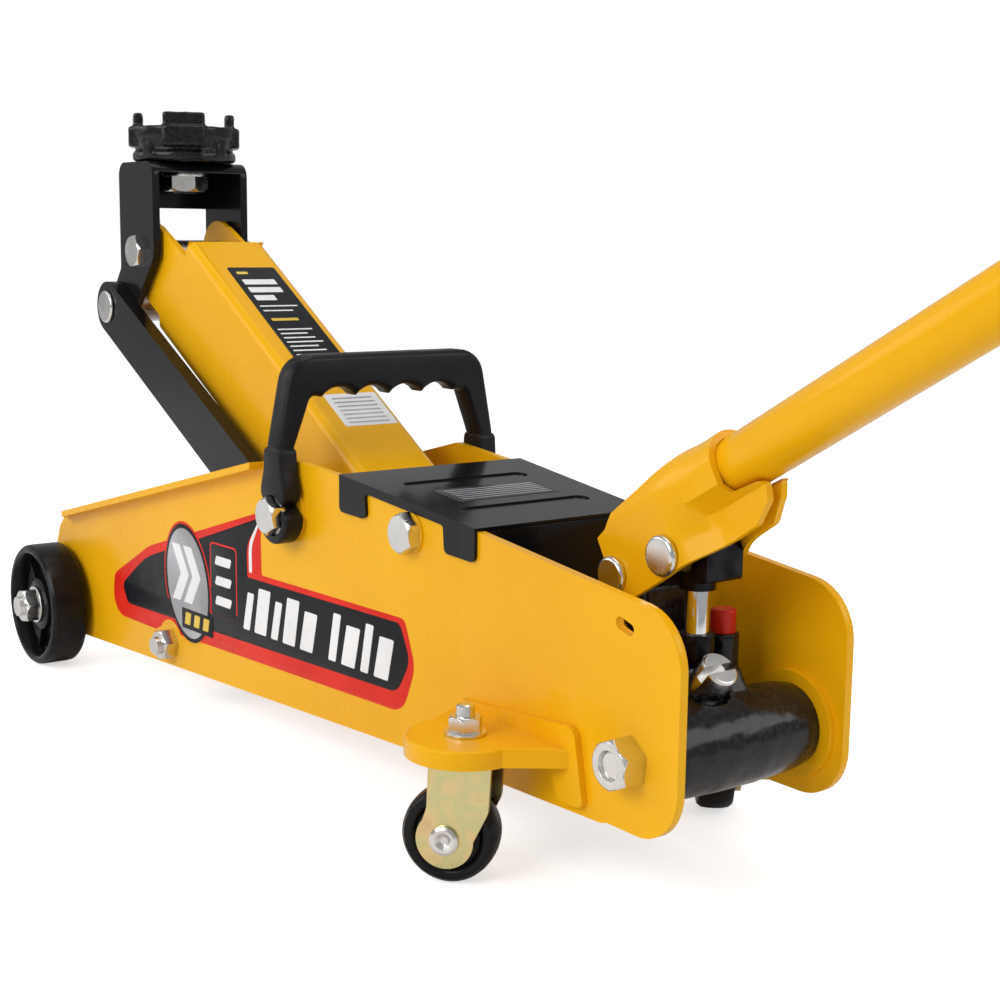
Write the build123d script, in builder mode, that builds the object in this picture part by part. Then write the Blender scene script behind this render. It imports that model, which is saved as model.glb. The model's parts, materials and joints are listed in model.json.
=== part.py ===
from build123d import *

import os
from math import cos, hypot, radians, sin

# Hydraulic trolley jack, in millimetres.
# Frame: floor at Z 0, midplane at Y 0, saddle end towards -X, handle end towards +X,
# X 0 midway along the overall length. "Left" pieces stand on the -Y side.

# ---------------------------------------------------------------- driving dimensions
RUN = 0.05                    # radial clearance of a pin that turns in its hole
OVERALL_HALF_LENGTH = 487.5   # front of the wheels and end of the grip, from X 0

# chassis
PLATE_T = 4.0
REAR_HALF = 48.0              # outer half width of the parallel rear part
FRONT_HALF = 68.5             # outer half width at the front axle
FLARE_X = -50.0               # the plates spread forwards from here
FLARE = (FRONT_HALF - REAR_HALF) / (FLARE_X + 450.0)
REAR_X = 90.0
FRONT_AXLE = (-450.0, 37.5)   # X, Z
FRONT_BRACE = (-316.5, 36.5)
CARRY_PIVOT = (-188.0, 129.5)
LIP_FRONT_X = -449.0
LIP_REAR_X = -214.7
LIP_REAR_Z = 152.9
LIP_SLOPE = 0.2507
LIP_REACH = 8.0
DECK_SLOPE = -0.1087          # top edge under the cover and behind it
DECK_REF = (65.0, 130.8)
KEEL_SLOPE = 0.036            # bottom edge
KEEL_Z = 19.0                 # bottom edge at the front axle

# linkage
ARM_PIVOT = (-88.0, 134.5)
SADDLE_PIN = (-414.0, 256.5)
BRACKET_DROP = (-29.5, -34.5)           # from the saddle pin to the link's front pin
LINK_FRONT = (SADDLE_PIN[0] + BRACKET_DROP[0], SADDLE_PIN[1] + BRACKET_DROP[1])
LINK_REAR = (ARM_PIVOT[0] + BRACKET_DROP[0], ARM_PIVOT[1] + BRACKET_DROP[1])
LINK_BEND = (-255.0, 125.5)
ARM_HALF = 24.5
ARM_T = 3.5
FOLD_R = 5.0
WEB_TOP = (-356.0, 260.5)               # a point of the arm's top web
WEB_SLOPE = -0.605
WEB_FRONT_X = -360.0
WEB_REAR_X = -160.0
LEVER = 68.0                            # arm pivot to ram pin
LEVER_ANGLE = radians(12.0)
RAM_PIN = (ARM_PIVOT[0] - LEVER * sin(LEVER_ANGLE), ARM_PIVOT[1] - LEVER * cos(LEVER_ANGLE))
BRACKET_HALF = 31.5
BRACKET_T = 4.5
LINK_INNER = 32.0
LINK_OUTER = 40.0

# hydraulics
BASE_AXIS = (62.5, 67.0)                # X, Z of the trunnion casting
RAM_Z = 67.0
TANK_R = 32.0
TANK_FRONT_X = -44.0
BLOCK_FRONT_X = 20.0
ROD_R = 12.0
BORE_R = 15.0

# pump and handle
SOCKET_PIN = (16.0, 129.5)
PUMP_PIN = (46.0, 142.6)
PLUNGER_X = 48.0
PLUNGER_R = 5.0
HANDLE_ANGLE = 30.15
TUBE_POINT = (77.7, 185.6)              # a point of the handle's axis
TUBE_R = 12.0
SOCKET_HALF = 18.0
SOCKET_T = 3.5

# wheels
FRONT_WHEEL_R = 37.5
FRONT_WHEEL_IN = 70.5                   # inner and outer faces, from the midplane
FRONT_WHEEL_OUT = 93.0
CASTER_X = -12.0                        # swivel axis
CASTER_Y = 73.0
CASTER_WHEEL_R = 20.7
CASTER_TRAIL = 5.4
CASTER_TURN = 219.0                     # direction of the trail at rest, degrees from +X
CASTER_STUD_R = 4.0
SHELF_Z = 63.5
SHELF_T = 4.0
SHELF_R = 25.7

# saddle
SADDLE_X = -414.0
BRACKET_TOP_Z = 310.0
SADDLE_R = 32.5
SADDLE_RIM_Z = 331.0
SADDLE_TOP_Z = 339.0
SADDLE_LUG_TURN = -26.0                 # direction of one of the four lugs at rest, degrees from +X


# ---------------------------------------------------------------- shared geometry
def plate_half(x):
    """Outer half width of the chassis at x."""
    return REAR_HALF + max(0.0, FLARE_X - x) * FLARE


def deck_z(x):
    return DECK_REF[1] + DECK_SLOPE * (x - DECK_REF[0])


def lip_z(x):
    return LIP_REAR_Z + LIP_SLOPE * (x - LIP_REAR_X)


def keel_z(x):
    return KEEL_Z + KEEL_SLOPE * (x - FRONT_AXLE[0])


def web_z(x):
    return WEB_TOP[1] + WEB_SLOPE * (x - WEB_TOP[0])


def side(y):
    """Side-view plane at height-wise Z and length-wise X; its normal points to -Y."""
    return Plane.XZ.offset(-y)


def facing_x(x):
    """Plane seen along the length; local x is Y and local y is Z."""
    return Plane.YZ.offset(x)


def outline(sketch, corners):
    """Closed polygon of (x, y, radius) corners, each rounded by its radius."""
    Polygon(*[(x, y) for x, y, _ in corners], align=None)
    for x, y, radius in corners:
        if radius:
            fillet(sketch.vertices().sort_by_distance((x, y, 0))[0], radius)


def disc(plane, centre, radius, amount, mode=Mode.ADD):
    """Round boss or hole: a circle on the plane, pushed along its normal."""
    with BuildSketch(plane) as circle:
        with Locations(centre):
            Circle(radius)
    extrude(circle.sketch, amount=amount, mode=mode)


def ring(plane, centre, outer, inner, amount):
    with BuildSketch(plane) as annulus:
        with Locations(centre):
            Circle(outer)
            Circle(inner, mode=Mode.SUBTRACT)
    extrude(annulus.sketch, amount=amount)


def hexagon(plane, centre, across_flats, height, hole=0.0, turn=0.0):
    """Hexagonal head or nut whose outer corners are turned down; height may be negative."""
    corner_r = across_flats / 3 ** 0.5
    seat = plane.offset(0)
    with BuildPart() as blank:
        with BuildSketch(plane):
            with Locations(centre):
                Circle(corner_r)
        extrude(amount=height)
        outer_rim = blank.edges().filter_by(GeomType.CIRCLE).sort_by(
            lambda e: abs(seat.to_local_coords(e.center()).Z)
        )[-1]
        chamfer(outer_rim, corner_r - across_flats / 2 + 0.2)
    with BuildPart() as head:
        with BuildSketch(plane):
            with Locations(centre):
                RegularPolygon(corner_r, 6, rotation=turn)
        extrude(amount=height)
        add(blank.part, mode=Mode.INTERSECT)
        if hole:
            with BuildSketch(plane):
                with Locations(centre):
                    Circle(hole)
            extrude(amount=height, mode=Mode.SUBTRACT)
    add(head.part)


def flare_plane(x, z, hand, inset=0.0):
    """Plane on a plate's spread outer face at (x, z), sunk by inset; normal outwards."""
    face = Plane(origin=(x, hand * plate_half(x), z), x_dir=(1, -hand * FLARE, 0), z_dir=(FLARE, hand, 0))
    return face.offset(-inset)


def save(part, label):
    part.label = label
    export_step(part, f"parts/{label}.step")


def save_mirrored(part, label):
    """Writes the right-hand twin of a left-hand piece."""
    with BuildPart() as twin:
        mirror(part, about=Plane.XZ)
    save(twin.part, label)


os.makedirs("parts", exist_ok=True)


# ---------------------------------------------------------------- side plates
def plan_strip(x0, x1, inner, outer):
    """Plan points of a strip along the left plate, between two distances in from its outer face."""
    xs = [x0, FLARE_X, x1] if x0 < FLARE_X < x1 else [x0, x1]
    outside = [(x, -(plate_half(x) - outer)) for x in xs]
    inside = [(x, -(plate_half(x) - inner)) for x in xs]
    return outside + inside[::-1]


def sheet_slice(plan, corners):
    """Solid standing on plan points and cut to a side-view outline of the left side."""
    with BuildPart() as body:
        with BuildSketch():
            Polygon(*plan, align=None)
        extrude(amount=200)
        with BuildSketch(side(0)) as profile:
            outline(profile, corners)
        extrude(amount=140, mode=Mode.INTERSECT)
    return body.part


PLATE_CORNERS = [
    (LIP_FRONT_X, lip_z(LIP_FRONT_X), 0),
    (-459, 84, 5),
    (-473, 52, 16),
    (-471, keel_z(-471), 17),
    (46, keel_z(46), 0),
    (50, 38, 0),
    (REAR_X, 38, 22),
    (REAR_X, deck_z(REAR_X), 24),
    (-149, deck_z(-149), 6),
    (-196, lip_z(-196), 8),
]
LIP_CORNERS = [
    (LIP_FRONT_X, lip_z(LIP_FRONT_X), 0),
    (LIP_REAR_X, LIP_REAR_Z, 0),
    (LIP_REAR_X, LIP_REAR_Z - 3.6, 0),
    (LIP_FRONT_X + 2, lip_z(LIP_FRONT_X + 2) - 3.6, 0),
]
KEEL_CORNERS = [
    (-300, keel_z(-300), 0),
    (40, keel_z(40), 0),
    (40, keel_z(40) + 3.5, 0),
    (-300, keel_z(-300) + 3.5, 0),
]
lip_plan = plan_strip(LIP_FRONT_X, LIP_REAR_X, PLATE_T, -LIP_REACH)
lip_plan[0] = (LIP_FRONT_X + 12, lip_plan[0][1])
lip_plan.append((LIP_FRONT_X, -plate_half(LIP_FRONT_X)))
lip_plan = [lip_plan[4], lip_plan[0], lip_plan[1], lip_plan[2], lip_plan[3]]
PAD_H = 0.7   # flat pads that square the spread plate up to bolts lying along Y

with BuildPart() as side_plate_left:
    add(sheet_slice(plan_strip(-500, REAR_X + 10, PLATE_T, 0), PLATE_CORNERS))
    add(sheet_slice(lip_plan, LIP_CORNERS))
    add(sheet_slice(plan_strip(-300, 40, 13, 0), KEEL_CORNERS))
    for centre, radius in ((FRONT_AXLE, 13), (CARRY_PIVOT, 13), (ARM_PIVOT, 9.85)):
        disc(side(-plate_half(centre[0]) - PAD_H), centre, radius, -(PLATE_T + 2 * PAD_H))
    ring(side(-REAR_HALF + PLATE_T + 3), BASE_AXIS, 23, 17.6, 3.5)
    for centre, radius in ((FRONT_AXLE, 6.1), (CARRY_PIVOT, 5.1), (ARM_PIVOT, 5.1), (BASE_AXIS, 6.1)):
        disc(side(0), centre, radius, 120, Mode.SUBTRACT)
    disc(flare_plane(*FRONT_BRACE, hand=-1, inset=20), (0, 0), 5.1, 40, Mode.SUBTRACT)
    stud_face = plate_half(LINK_REAR[0]) - PLATE_T
    disc(side(0), LINK_REAR, 6, stud_face + 2, Mode.SUBTRACT)
save_mirrored(side_plate_left.part, "side_plate_right")
with side_plate_left:
    with BuildSketch(side(0)):
        with Locations((58, 120)):
            SlotOverall(11, 5, rotation=-16)
    extrude(amount=120, mode=Mode.SUBTRACT)
save(side_plate_left.part, "side_plate_left")

# ---------------------------------------------------------------- caster brackets
with BuildPart() as caster_bracket_left:
    with BuildSketch(Plane.XY.offset(SHELF_Z - SHELF_T)) as shelf:
        with Locations((CASTER_X, -CASTER_Y)):
            Circle(SHELF_R)
        Polygon(
            (FLARE_X, -REAR_HALF), (CASTER_X - SHELF_R, -CASTER_Y), (CASTER_X + SHELF_R, -CASTER_Y),
            (32, -REAR_HALF), align=None,
        )
        with Locations((0, -REAR_HALF - SHELF_R * 2)):
            Rectangle(200, SHELF_R * 4, mode=Mode.INTERSECT)
    extrude(amount=SHELF_T)
    fillet(caster_bracket_left.edges().group_by(Axis.Z)[-1], 1.5)
    with BuildSketch(Plane.XY.offset(SHELF_Z - SHELF_T)):
        add(shelf.sketch_local)
        offset(amount=-3, mode=Mode.SUBTRACT)
    extrude(amount=-4)
    with BuildSketch(side(-REAR_HALF)) as flange:
        outline(flange, [
            (FLARE_X, 57, 0), (FLARE_X, 66, 5), (32, 73.5, 6), (38.5, 41, 3), (24, 39.5, 4), (14, 56, 10),
            (-44, 56, 0),
        ])
    extrude(amount=3.2)
    disc(Plane.XY.offset(SHELF_Z), (CASTER_X, -CASTER_Y), CASTER_STUD_R + 0.1, -10, Mode.SUBTRACT)
save(caster_bracket_left.part, "caster_bracket_left")
save_mirrored(caster_bracket_left.part, "caster_bracket_right")

# ---------------------------------------------------------------- chassis cross pieces
BRACE_Z = 23.2       # underside of the strap, which the lowered links just clear
BRACE_T = 2.2
BRACE_TAB_H = 25.0
with BuildPart() as front_cross_brace:
    x0, x1 = FRONT_BRACE[0] - 16, FRONT_BRACE[0] + 16
    inner0 = plate_half(x0) - PLATE_T
    inner1 = plate_half(x1) - PLATE_T
    with BuildSketch(Plane.XY.offset(BRACE_Z)):
        Polygon((x0, -inner0), (x1, -inner1), (x1, inner1), (x0, inner0), align=None)
    extrude(amount=BRACE_TAB_H)
    with BuildSketch(Plane.XY.offset(BRACE_Z + BRACE_T)):
        Polygon((x0, 3 - inner0), (x1, 3 - inner1), (x1, inner1 - 3), (x0, inner0 - 3), align=None)
    extrude(amount=30, mode=Mode.SUBTRACT)
    fillet(front_cross_brace.edges().filter_by(Axis.Y).group_by(Axis.Z)[-1], 7)
    for hand in (-1, 1):
        disc(flare_plane(*FRONT_BRACE, hand=hand, inset=20), (0, 0), 5.1, 40, Mode.SUBTRACT)
save(front_cross_brace.part, "front_cross_brace")

with BuildPart() as front_brace_bolts:
    for hand in (-1, 1):
        seat = flare_plane(*FRONT_BRACE, hand=hand, inset=PLATE_T + 3)
        hexagon(seat, (0, 0), 16, -6)
        disc(seat, (0, 0), 5, 18)
save(front_brace_bolts.part, "front_brace_bolts")

with BuildPart() as front_brace_nuts:
    for hand in (-1, 1):
        hexagon(flare_plane(*FRONT_BRACE, hand=hand), (0, 0), 16, 8, hole=5.02, turn=12)
save(front_brace_nuts.part, "front_brace_nuts")

COVER_T = 1.6
COVER_FRONT_X = -143.0
COVER_REAR_X = -39.0


def cover_plan(margin, overrun):
    """Symmetric plan points over both plates, margin outside their outer faces."""
    xs = (COVER_FRONT_X - overrun, FLARE_X, COVER_REAR_X + overrun)
    left = [(x, -plate_half(x) - margin) for x in xs]
    return left + [(x, -y) for x, y in left[::-1]]


with BuildPart() as top_cover:
    with BuildSketch():
        Polygon(*cover_plan(0.2 + COVER_T, 0), align=None)
    extrude(amount=200)
    with BuildSketch(side(0)) as cover_side:
        outline(cover_side, [
            (COVER_FRONT_X, deck_z(COVER_FRONT_X) + COVER_T, 0),
            (COVER_FRONT_X, 137, 3),
            (COVER_FRONT_X + 22, 136, 3),
            (COVER_FRONT_X + 21, deck_z(COVER_FRONT_X + 21) - 2.8, 2),
            (-62, deck_z(-62) - 2.8, 2),
            (-61, 129.5, 3),
            (COVER_REAR_X, 128.5, 3),
            (COVER_REAR_X, deck_z(COVER_REAR_X) + COVER_T, 0),
        ])
    extrude(amount=80, both=True, mode=Mode.INTERSECT)
    with BuildSketch(Plane.XY.offset(90)):
        Polygon(*cover_plan(0.2, 10), align=None)
    under_wedge = extrude(amount=110, mode=Mode.PRIVATE)
    deck = Plane(origin=(0, 0, deck_z(0) + 0.02), x_dir=(0, 1, 0), z_dir=(-DECK_SLOPE, 0, 1))
    add(split(under_wedge, bisect_by=deck, keep=Keep.BOTTOM, mode=Mode.PRIVATE), mode=Mode.SUBTRACT)
    for groove_x in (-114.0, -66.0):
        groove = Plane(
            origin=(groove_x, 0, deck_z(groove_x) + COVER_T), x_dir=(0, 1, 0), z_dir=(-DECK_SLOPE, 0, 1)
        )
        with BuildSketch(groove):
            SlotOverall(72, 9)
        extrude(amount=-0.8, mode=Mode.SUBTRACT)
save(top_cover.part, "top_cover")

with BuildPart() as arm_pivot_shaft:
    shaft_end = plate_half(ARM_PIVOT[0]) - PLATE_T - PAD_H
    disc(side(-shaft_end), ARM_PIVOT, 8, -2 * shaft_end)
    for end in (-shaft_end, shaft_end - 24):
        disc(side(end), ARM_PIVOT, 5.05, -24, Mode.SUBTRACT)
save(arm_pivot_shaft.part, "arm_pivot_shaft")

with BuildPart() as arm_pivot_bolts:
    hexagon(side(-plate_half(ARM_PIVOT[0]) - PAD_H), ARM_PIVOT, 17, 6.5, turn=30)
    disc(side(-plate_half(ARM_PIVOT[0]) - PAD_H), ARM_PIVOT, 5, -26)
    mirror(about=Plane.XZ)
save(arm_pivot_bolts.part, "arm_pivot_bolts")

with BuildPart() as arm_pivot_spacers:
    gap = shaft_end - ARM_HALF - 0.2
    ring(side(-shaft_end + gap), ARM_PIVOT, 11.5, 8 + RUN, gap)
    mirror(about=Plane.XZ)
save(arm_pivot_spacers.part, "arm_pivot_spacers")

STUD_R = 6.0
with BuildPart() as link_pivot_studs:
    disc(side(-stud_face - 2), LINK_REAR, STUD_R, -(stud_face + 1.5 - LINK_INNER))
    ring(side(-46.9), LINK_REAR, 9, STUD_R - 1, -(46.9 - LINK_OUTER - 0.2))
    mirror(about=Plane.XZ)
save(link_pivot_studs.part, "link_pivot_studs")

# ---------------------------------------------------------------- front wheels
with BuildPart() as front_axle_bolts:
    inner_pad = plate_half(FRONT_AXLE[0]) - PLATE_T - PAD_H
    hexagon(side(-inner_pad), FRONT_AXLE, 19, -7)
    disc(side(-inner_pad), FRONT_AXLE, 6, 38)
    mirror(about=Plane.XZ)
save(front_axle_bolts.part, "front_axle_bolts")

with BuildPart() as front_axle_washers:
    outer_pad = plate_half(FRONT_AXLE[0]) + PAD_H
    ring(side(-outer_pad), FRONT_AXLE, 12, 6.05, FRONT_WHEEL_IN - outer_pad - 0.1)
    ring(side(-FRONT_WHEEL_OUT + 3.9), FRONT_AXLE, 11.5, 6.05, 1.8)
    mirror(about=Plane.XZ)
save(front_axle_washers.part, "front_axle_washers")

with BuildPart() as front_axle_nuts:
    hexagon(side(-FRONT_WHEEL_OUT + 2.1), FRONT_AXLE, 19, 8, hole=6.02, turn=8)
    mirror(about=Plane.XZ)
save(front_axle_nuts.part, "front_axle_nuts")

with BuildPart() as front_wheel_left:
    disc(side(-FRONT_WHEEL_IN), FRONT_AXLE, FRONT_WHEEL_R, FRONT_WHEEL_OUT - FRONT_WHEEL_IN)
    fillet(front_wheel_left.edges(), 3)
    with BuildSketch(side(-FRONT_WHEEL_OUT)):
        with Locations(FRONT_AXLE):
            Circle(30)
            Circle(15, mode=Mode.SUBTRACT)
    extrude(amount=-8, mode=Mode.SUBTRACT, taper=8)
    disc(side(-FRONT_WHEEL_OUT), FRONT_AXLE, 16, -4, Mode.SUBTRACT)
    with BuildSketch(side(-FRONT_WHEEL_IN)):
        with Locations(FRONT_AXLE):
            Circle(30)
            Circle(14, mode=Mode.SUBTRACT)
    extrude(amount=7, mode=Mode.SUBTRACT, taper=8)
    disc(side(0), FRONT_AXLE, 6 + RUN, 120, Mode.SUBTRACT)
save(front_wheel_left.part, "front_wheel_left")
save_mirrored(front_wheel_left.part, "front_wheel_right")

# ---------------------------------------------------------------- rear casters
turn = radians(CASTER_TURN)
caster_side = Plane(
    origin=(CASTER_X, -CASTER_Y, 0), x_dir=(cos(turn), sin(turn), 0), z_dir=(sin(turn), -cos(turn), 0)
)
CASTER_AXLE = (CASTER_TRAIL, CASTER_WHEEL_R)
FORK_TOP = 55.5
FORK_IN = 9.6
FORK_OUT = 12.2

with BuildPart() as caster_fork_left:
    with BuildSketch(caster_side) as fork:
        outline(fork, [
            (-14.5, FORK_TOP, 2), (-13.3, 34, 12), (-6.9, CASTER_WHEEL_R, 0), (17.7, CASTER_WHEEL_R, 0),
            (13.2, 34, 10), (12.5, FORK_TOP, 2),
        ])
        with Locations(CASTER_AXLE):
            Circle(12.4)
    extrude(amount=FORK_OUT, both=True)
    with BuildSketch(caster_side):
        Polygon((-40, 0), (50, 0), (50, FORK_TOP - 3), (-40, FORK_TOP - 3), align=None)
    extrude(amount=FORK_IN, both=True, mode=Mode.SUBTRACT)
    disc(caster_side.offset(-20), CASTER_AXLE, 4, 40, Mode.SUBTRACT)
    disc(Plane.XY.offset(FORK_TOP), (CASTER_X, -CASTER_Y), CASTER_STUD_R + RUN, -10, Mode.SUBTRACT)
save(caster_fork_left.part, "caster_fork_left")
save_mirrored(caster_fork_left.part, "caster_fork_right")

with BuildPart() as caster_axle_left:
    disc(caster_side.offset(-FORK_OUT), CASTER_AXLE, 4, 2 * FORK_OUT)
    ring(caster_side.offset(FORK_OUT), CASTER_AXLE, 6.5, 3, 1.8)
    ring(caster_side.offset(-FORK_OUT - 1.8), CASTER_AXLE, 6.5, 3, 1.8)
save(caster_axle_left.part, "caster_axle_left")
save_mirrored(caster_axle_left.part, "caster_axle_right")

with BuildPart() as caster_wheel_left:
    disc(caster_side.offset(-8.5), CASTER_AXLE, CASTER_WHEEL_R, 17)
    fillet(caster_wheel_left.edges(), 3.5)
    for face, depth in ((8.5, -2), (-8.5, 2)):
        with BuildSketch(caster_side.offset(face)):
            with Locations(CASTER_AXLE):
                Circle(16)
                Circle(8, mode=Mode.SUBTRACT)
        extrude(amount=depth, mode=Mode.SUBTRACT)
    disc(caster_side.offset(-20), CASTER_AXLE, 4 + RUN, 40, Mode.SUBTRACT)
save(caster_wheel_left.part, "caster_wheel_left")
save_mirrored(caster_wheel_left.part, "caster_wheel_right")

with BuildPart() as caster_races:
    race_h = SHELF_Z - SHELF_T - FORK_TOP - 0.1
    ring(Plane.XY.offset(FORK_TOP + 0.1), (CASTER_X, -CASTER_Y), 12, CASTER_STUD_R + RUN, race_h)
    mirror(about=Plane.XZ)
save(caster_races.part, "caster_races")

with BuildPart() as caster_bolts:
    disc(Plane.XY.offset(FORK_TOP - 3.1), (CASTER_X, -CASTER_Y), 8, -3)
    disc(Plane.XY.offset(FORK_TOP - 3.1), (CASTER_X, -CASTER_Y), CASTER_STUD_R, 24)
    chamfer(caster_bolts.edges().group_by(Axis.Z)[-1], 1)
    mirror(about=Plane.XZ)
save(caster_bolts.part, "caster_bolts")

with BuildPart() as caster_nuts:
    ring(Plane.XY.offset(SHELF_Z), (CASTER_X, -CASTER_Y), 8.9, CASTER_STUD_R + 0.02, 1.5)
    hexagon(
        Plane.XY.offset(SHELF_Z + 1.5), (CASTER_X, -CASTER_Y), 13, 6.5, hole=CASTER_STUD_R + 0.02, turn=15
    )
    mirror(about=Plane.XZ)
save(caster_nuts.part, "caster_nuts")

# ---------------------------------------------------------------- lift arm
with BuildPart() as lift_arm:
    with BuildSketch(side(0)) as cheek:
        outline(cheek, [
            (WEB_FRONT_X, web_z(WEB_FRONT_X), 0), (-366, 254.5, 0), (-401, 272.0, 0),
            (-432, 250.0, 0), (-419, 227.4, 5), (-402, 218.4, 0), (-402, 211.6, 3),
            (-125, 60, 14), (-106, 55, 0), (-89.5, 66, 10), (-76, 134.5, 0),
            (-88, 146.5, 0), (-100, 146, 6), (-152, web_z(-152), 14),
        ])
        with Locations(SADDLE_PIN):
            Circle(19)
        with Locations(ARM_PIVOT):
            Circle(12)
        with Locations(RAM_PIN):
            Circle(13)
    extrude(amount=ARM_HALF, both=True)
    web_run = Plane(
        origin=(WEB_FRONT_X, 0, web_z(WEB_FRONT_X)), x_dir=(0, 1, 0), z_dir=(1, 0, WEB_SLOPE)
    )
    with BuildSketch(web_run):
        for hand in (-1, 1):
            with Locations((hand * (ARM_HALF - FOLD_R / 2), -FOLD_R / 2)):
                Rectangle(FOLD_R, FOLD_R)
        for hand in (-1, 1):
            with Locations((hand * (ARM_HALF - FOLD_R), -FOLD_R)):
                Circle(FOLD_R, mode=Mode.SUBTRACT)
    extrude(amount=hypot(1, WEB_SLOPE) * (WEB_REAR_X - WEB_FRONT_X), mode=Mode.SUBTRACT)
    web_gap = ARM_T * hypot(1, WEB_SLOPE)
    with BuildSketch(side(0)):
        Polygon(
            (-500, 400), (WEB_FRONT_X, 400), (WEB_FRONT_X, web_z(WEB_FRONT_X) - web_gap),
            (WEB_REAR_X, web_z(WEB_REAR_X) - web_gap), (WEB_REAR_X, 400), (0, 400), (0, 0),
            (-500, 0), align=None,
        )
    extrude(amount=ARM_HALF - ARM_T, both=True, mode=Mode.SUBTRACT)
    disc(side(-60), SADDLE_PIN, 7 + RUN, -120, Mode.SUBTRACT)
    disc(side(-60), ARM_PIVOT, 8 + RUN, -120, Mode.SUBTRACT)
    disc(side(-60), RAM_PIN, 7, -120, Mode.SUBTRACT)
save(lift_arm.part, "lift_arm")

with BuildPart() as ram_pin:
    disc(side(-29), RAM_PIN, 7, -58)
    chamfer(ram_pin.edges(), 1)
    for inner_face in (-ARM_HALF, ARM_HALF + 1.6):
        ring(side(inner_face), RAM_PIN, 10, 7, 1.6)
save(ram_pin.part, "ram_pin")

# ---------------------------------------------------------------- links
def cranked_bar(y, thickness, inset):
    """The link's bar in two straight runs, shrunk by inset, from the plane at y outwards."""
    with BuildPart() as bar:
        for start, end, radius in ((LINK_FRONT, LINK_BEND, 15.5), (LINK_BEND, LINK_REAR, 14.5)):
            with BuildSketch(side(y)):
                with Locations(start, end):
                    Circle(radius - inset)
                make_hull()
            extrude(amount=thickness)
    return bar.part


with BuildPart() as link_left:
    add(cranked_bar(-LINK_INNER, LINK_OUTER - LINK_INNER, 0))
    add(cranked_bar(-LINK_INNER, LINK_OUTER - LINK_INNER - 3.5, 3.5), mode=Mode.SUBTRACT)
    disc(side(0), LINK_FRONT, 7 + RUN, 60, Mode.SUBTRACT)
    disc(side(0), LINK_REAR, STUD_R + RUN, 60, Mode.SUBTRACT)
save(link_left.part, "link_left")
save_mirrored(link_left.part, "link_right")

# ---------------------------------------------------------------- saddle bracket
with BuildPart() as saddle_bracket:
    with BuildSketch(side(0)) as leg:
        outline(leg, [
            (-440.5, BRACKET_TOP_Z, 8), (-440.5, 246, 6), (-457.0, 226, 0), (-431, 212.5, 0),
            (-393, 253, 10), (-393, BRACKET_TOP_Z, 8),
        ])
        with Locations(LINK_FRONT):
            Circle(14)
    extrude(amount=BRACKET_HALF, both=True)
    with BuildSketch(side(0)):
        Polygon(
            (-500, 100), (-500, 283), (-435, 283), (-435, BRACKET_TOP_Z - 6),
            (-380, BRACKET_TOP_Z - 6), (-380, 100), align=None,
        )
    extrude(amount=BRACKET_HALF - BRACKET_T, both=True, mode=Mode.SUBTRACT)
    disc(side(-60), SADDLE_PIN, 7, -120, Mode.SUBTRACT)
    disc(side(-60), LINK_FRONT, 7, -120, Mode.SUBTRACT)
    disc(Plane.XY.offset(280), (SADDLE_X, 0), 8 + RUN, 60, Mode.SUBTRACT)
save(saddle_bracket.part, "saddle_bracket")

with BuildPart() as saddle_pivot_bolt:
    hexagon(side(-BRACKET_HALF), SADDLE_PIN, 18, 5, turn=10)
    disc(side(-BRACKET_HALF), SADDLE_PIN, 7, -(2 * BRACKET_HALF + 11))
save(saddle_pivot_bolt.part, "saddle_pivot_bolt")

with BuildPart() as saddle_pivot_nut:
    hexagon(side(BRACKET_HALF), SADDLE_PIN, 19, -8, hole=7.02)
save(saddle_pivot_nut.part, "saddle_pivot_nut")

with BuildPart() as link_front_pin:
    disc(side(-LINK_OUTER - 0.1), LINK_FRONT, 7, -2 * (LINK_OUTER + 0.1))
    disc(side(-LINK_OUTER - 0.1), LINK_FRONT, 10, 2)
    disc(side(LINK_OUTER + 0.1), LINK_FRONT, 10, -2)
    fillet(link_front_pin.edges().group_by(Axis.Y)[0], 1.2)
    fillet(link_front_pin.edges().group_by(Axis.Y)[-1], 1.2)
save(link_front_pin.part, "link_front_pin")

with BuildPart() as link_front_spacers:
    ring(side(-BRACKET_HALF), LINK_FRONT, 10, 7, LINK_OUTER - 3.7 - BRACKET_HALF)
    mirror(about=Plane.XZ)
    ring(side(-BRACKET_HALF + BRACKET_T), LINK_FRONT, 9.5, 7, -2 * (BRACKET_HALF - BRACKET_T))
save(link_front_spacers.part, "link_front_spacers")

# ---------------------------------------------------------------- saddle
SEAT_Z = 322.0
LUG_W = 25.0
with BuildPart() as saddle:
    with BuildSketch(facing_x(SADDLE_X)):
        Polygon(
            (0, 292), (8, 292), (8, BRACKET_TOP_Z + 0.1), (27, BRACKET_TOP_Z + 0.1),
            (30, BRACKET_TOP_Z + 4), (SADDLE_R, SEAT_Z), (SADDLE_R, SADDLE_RIM_Z),
            (SADDLE_R - 4, SADDLE_RIM_Z), (SADDLE_R - 6, SEAT_Z), (0, SEAT_Z), align=None,
        )
    revolve(axis=Axis((SADDLE_X, 0, 0), (0, 0, 1)))
    for low_z, high_z, inner, outer in (
        (SEAT_Z - 3, SADDLE_RIM_Z, SADDLE_R - 8, SADDLE_R + 1),
        (SADDLE_RIM_Z, SADDLE_TOP_Z, SADDLE_R - 8, SADDLE_R - 2),
    ):
        with BuildSketch(Plane.XY.offset(low_z)):
            with Locations((SADDLE_X, 0)):
                with PolarLocations((inner + outer) / 2, 4, start_angle=SADDLE_LUG_TURN):
                    Rectangle(outer - inner, LUG_W)
        extrude(amount=high_z - low_z)
save(saddle.part, "saddle")

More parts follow.
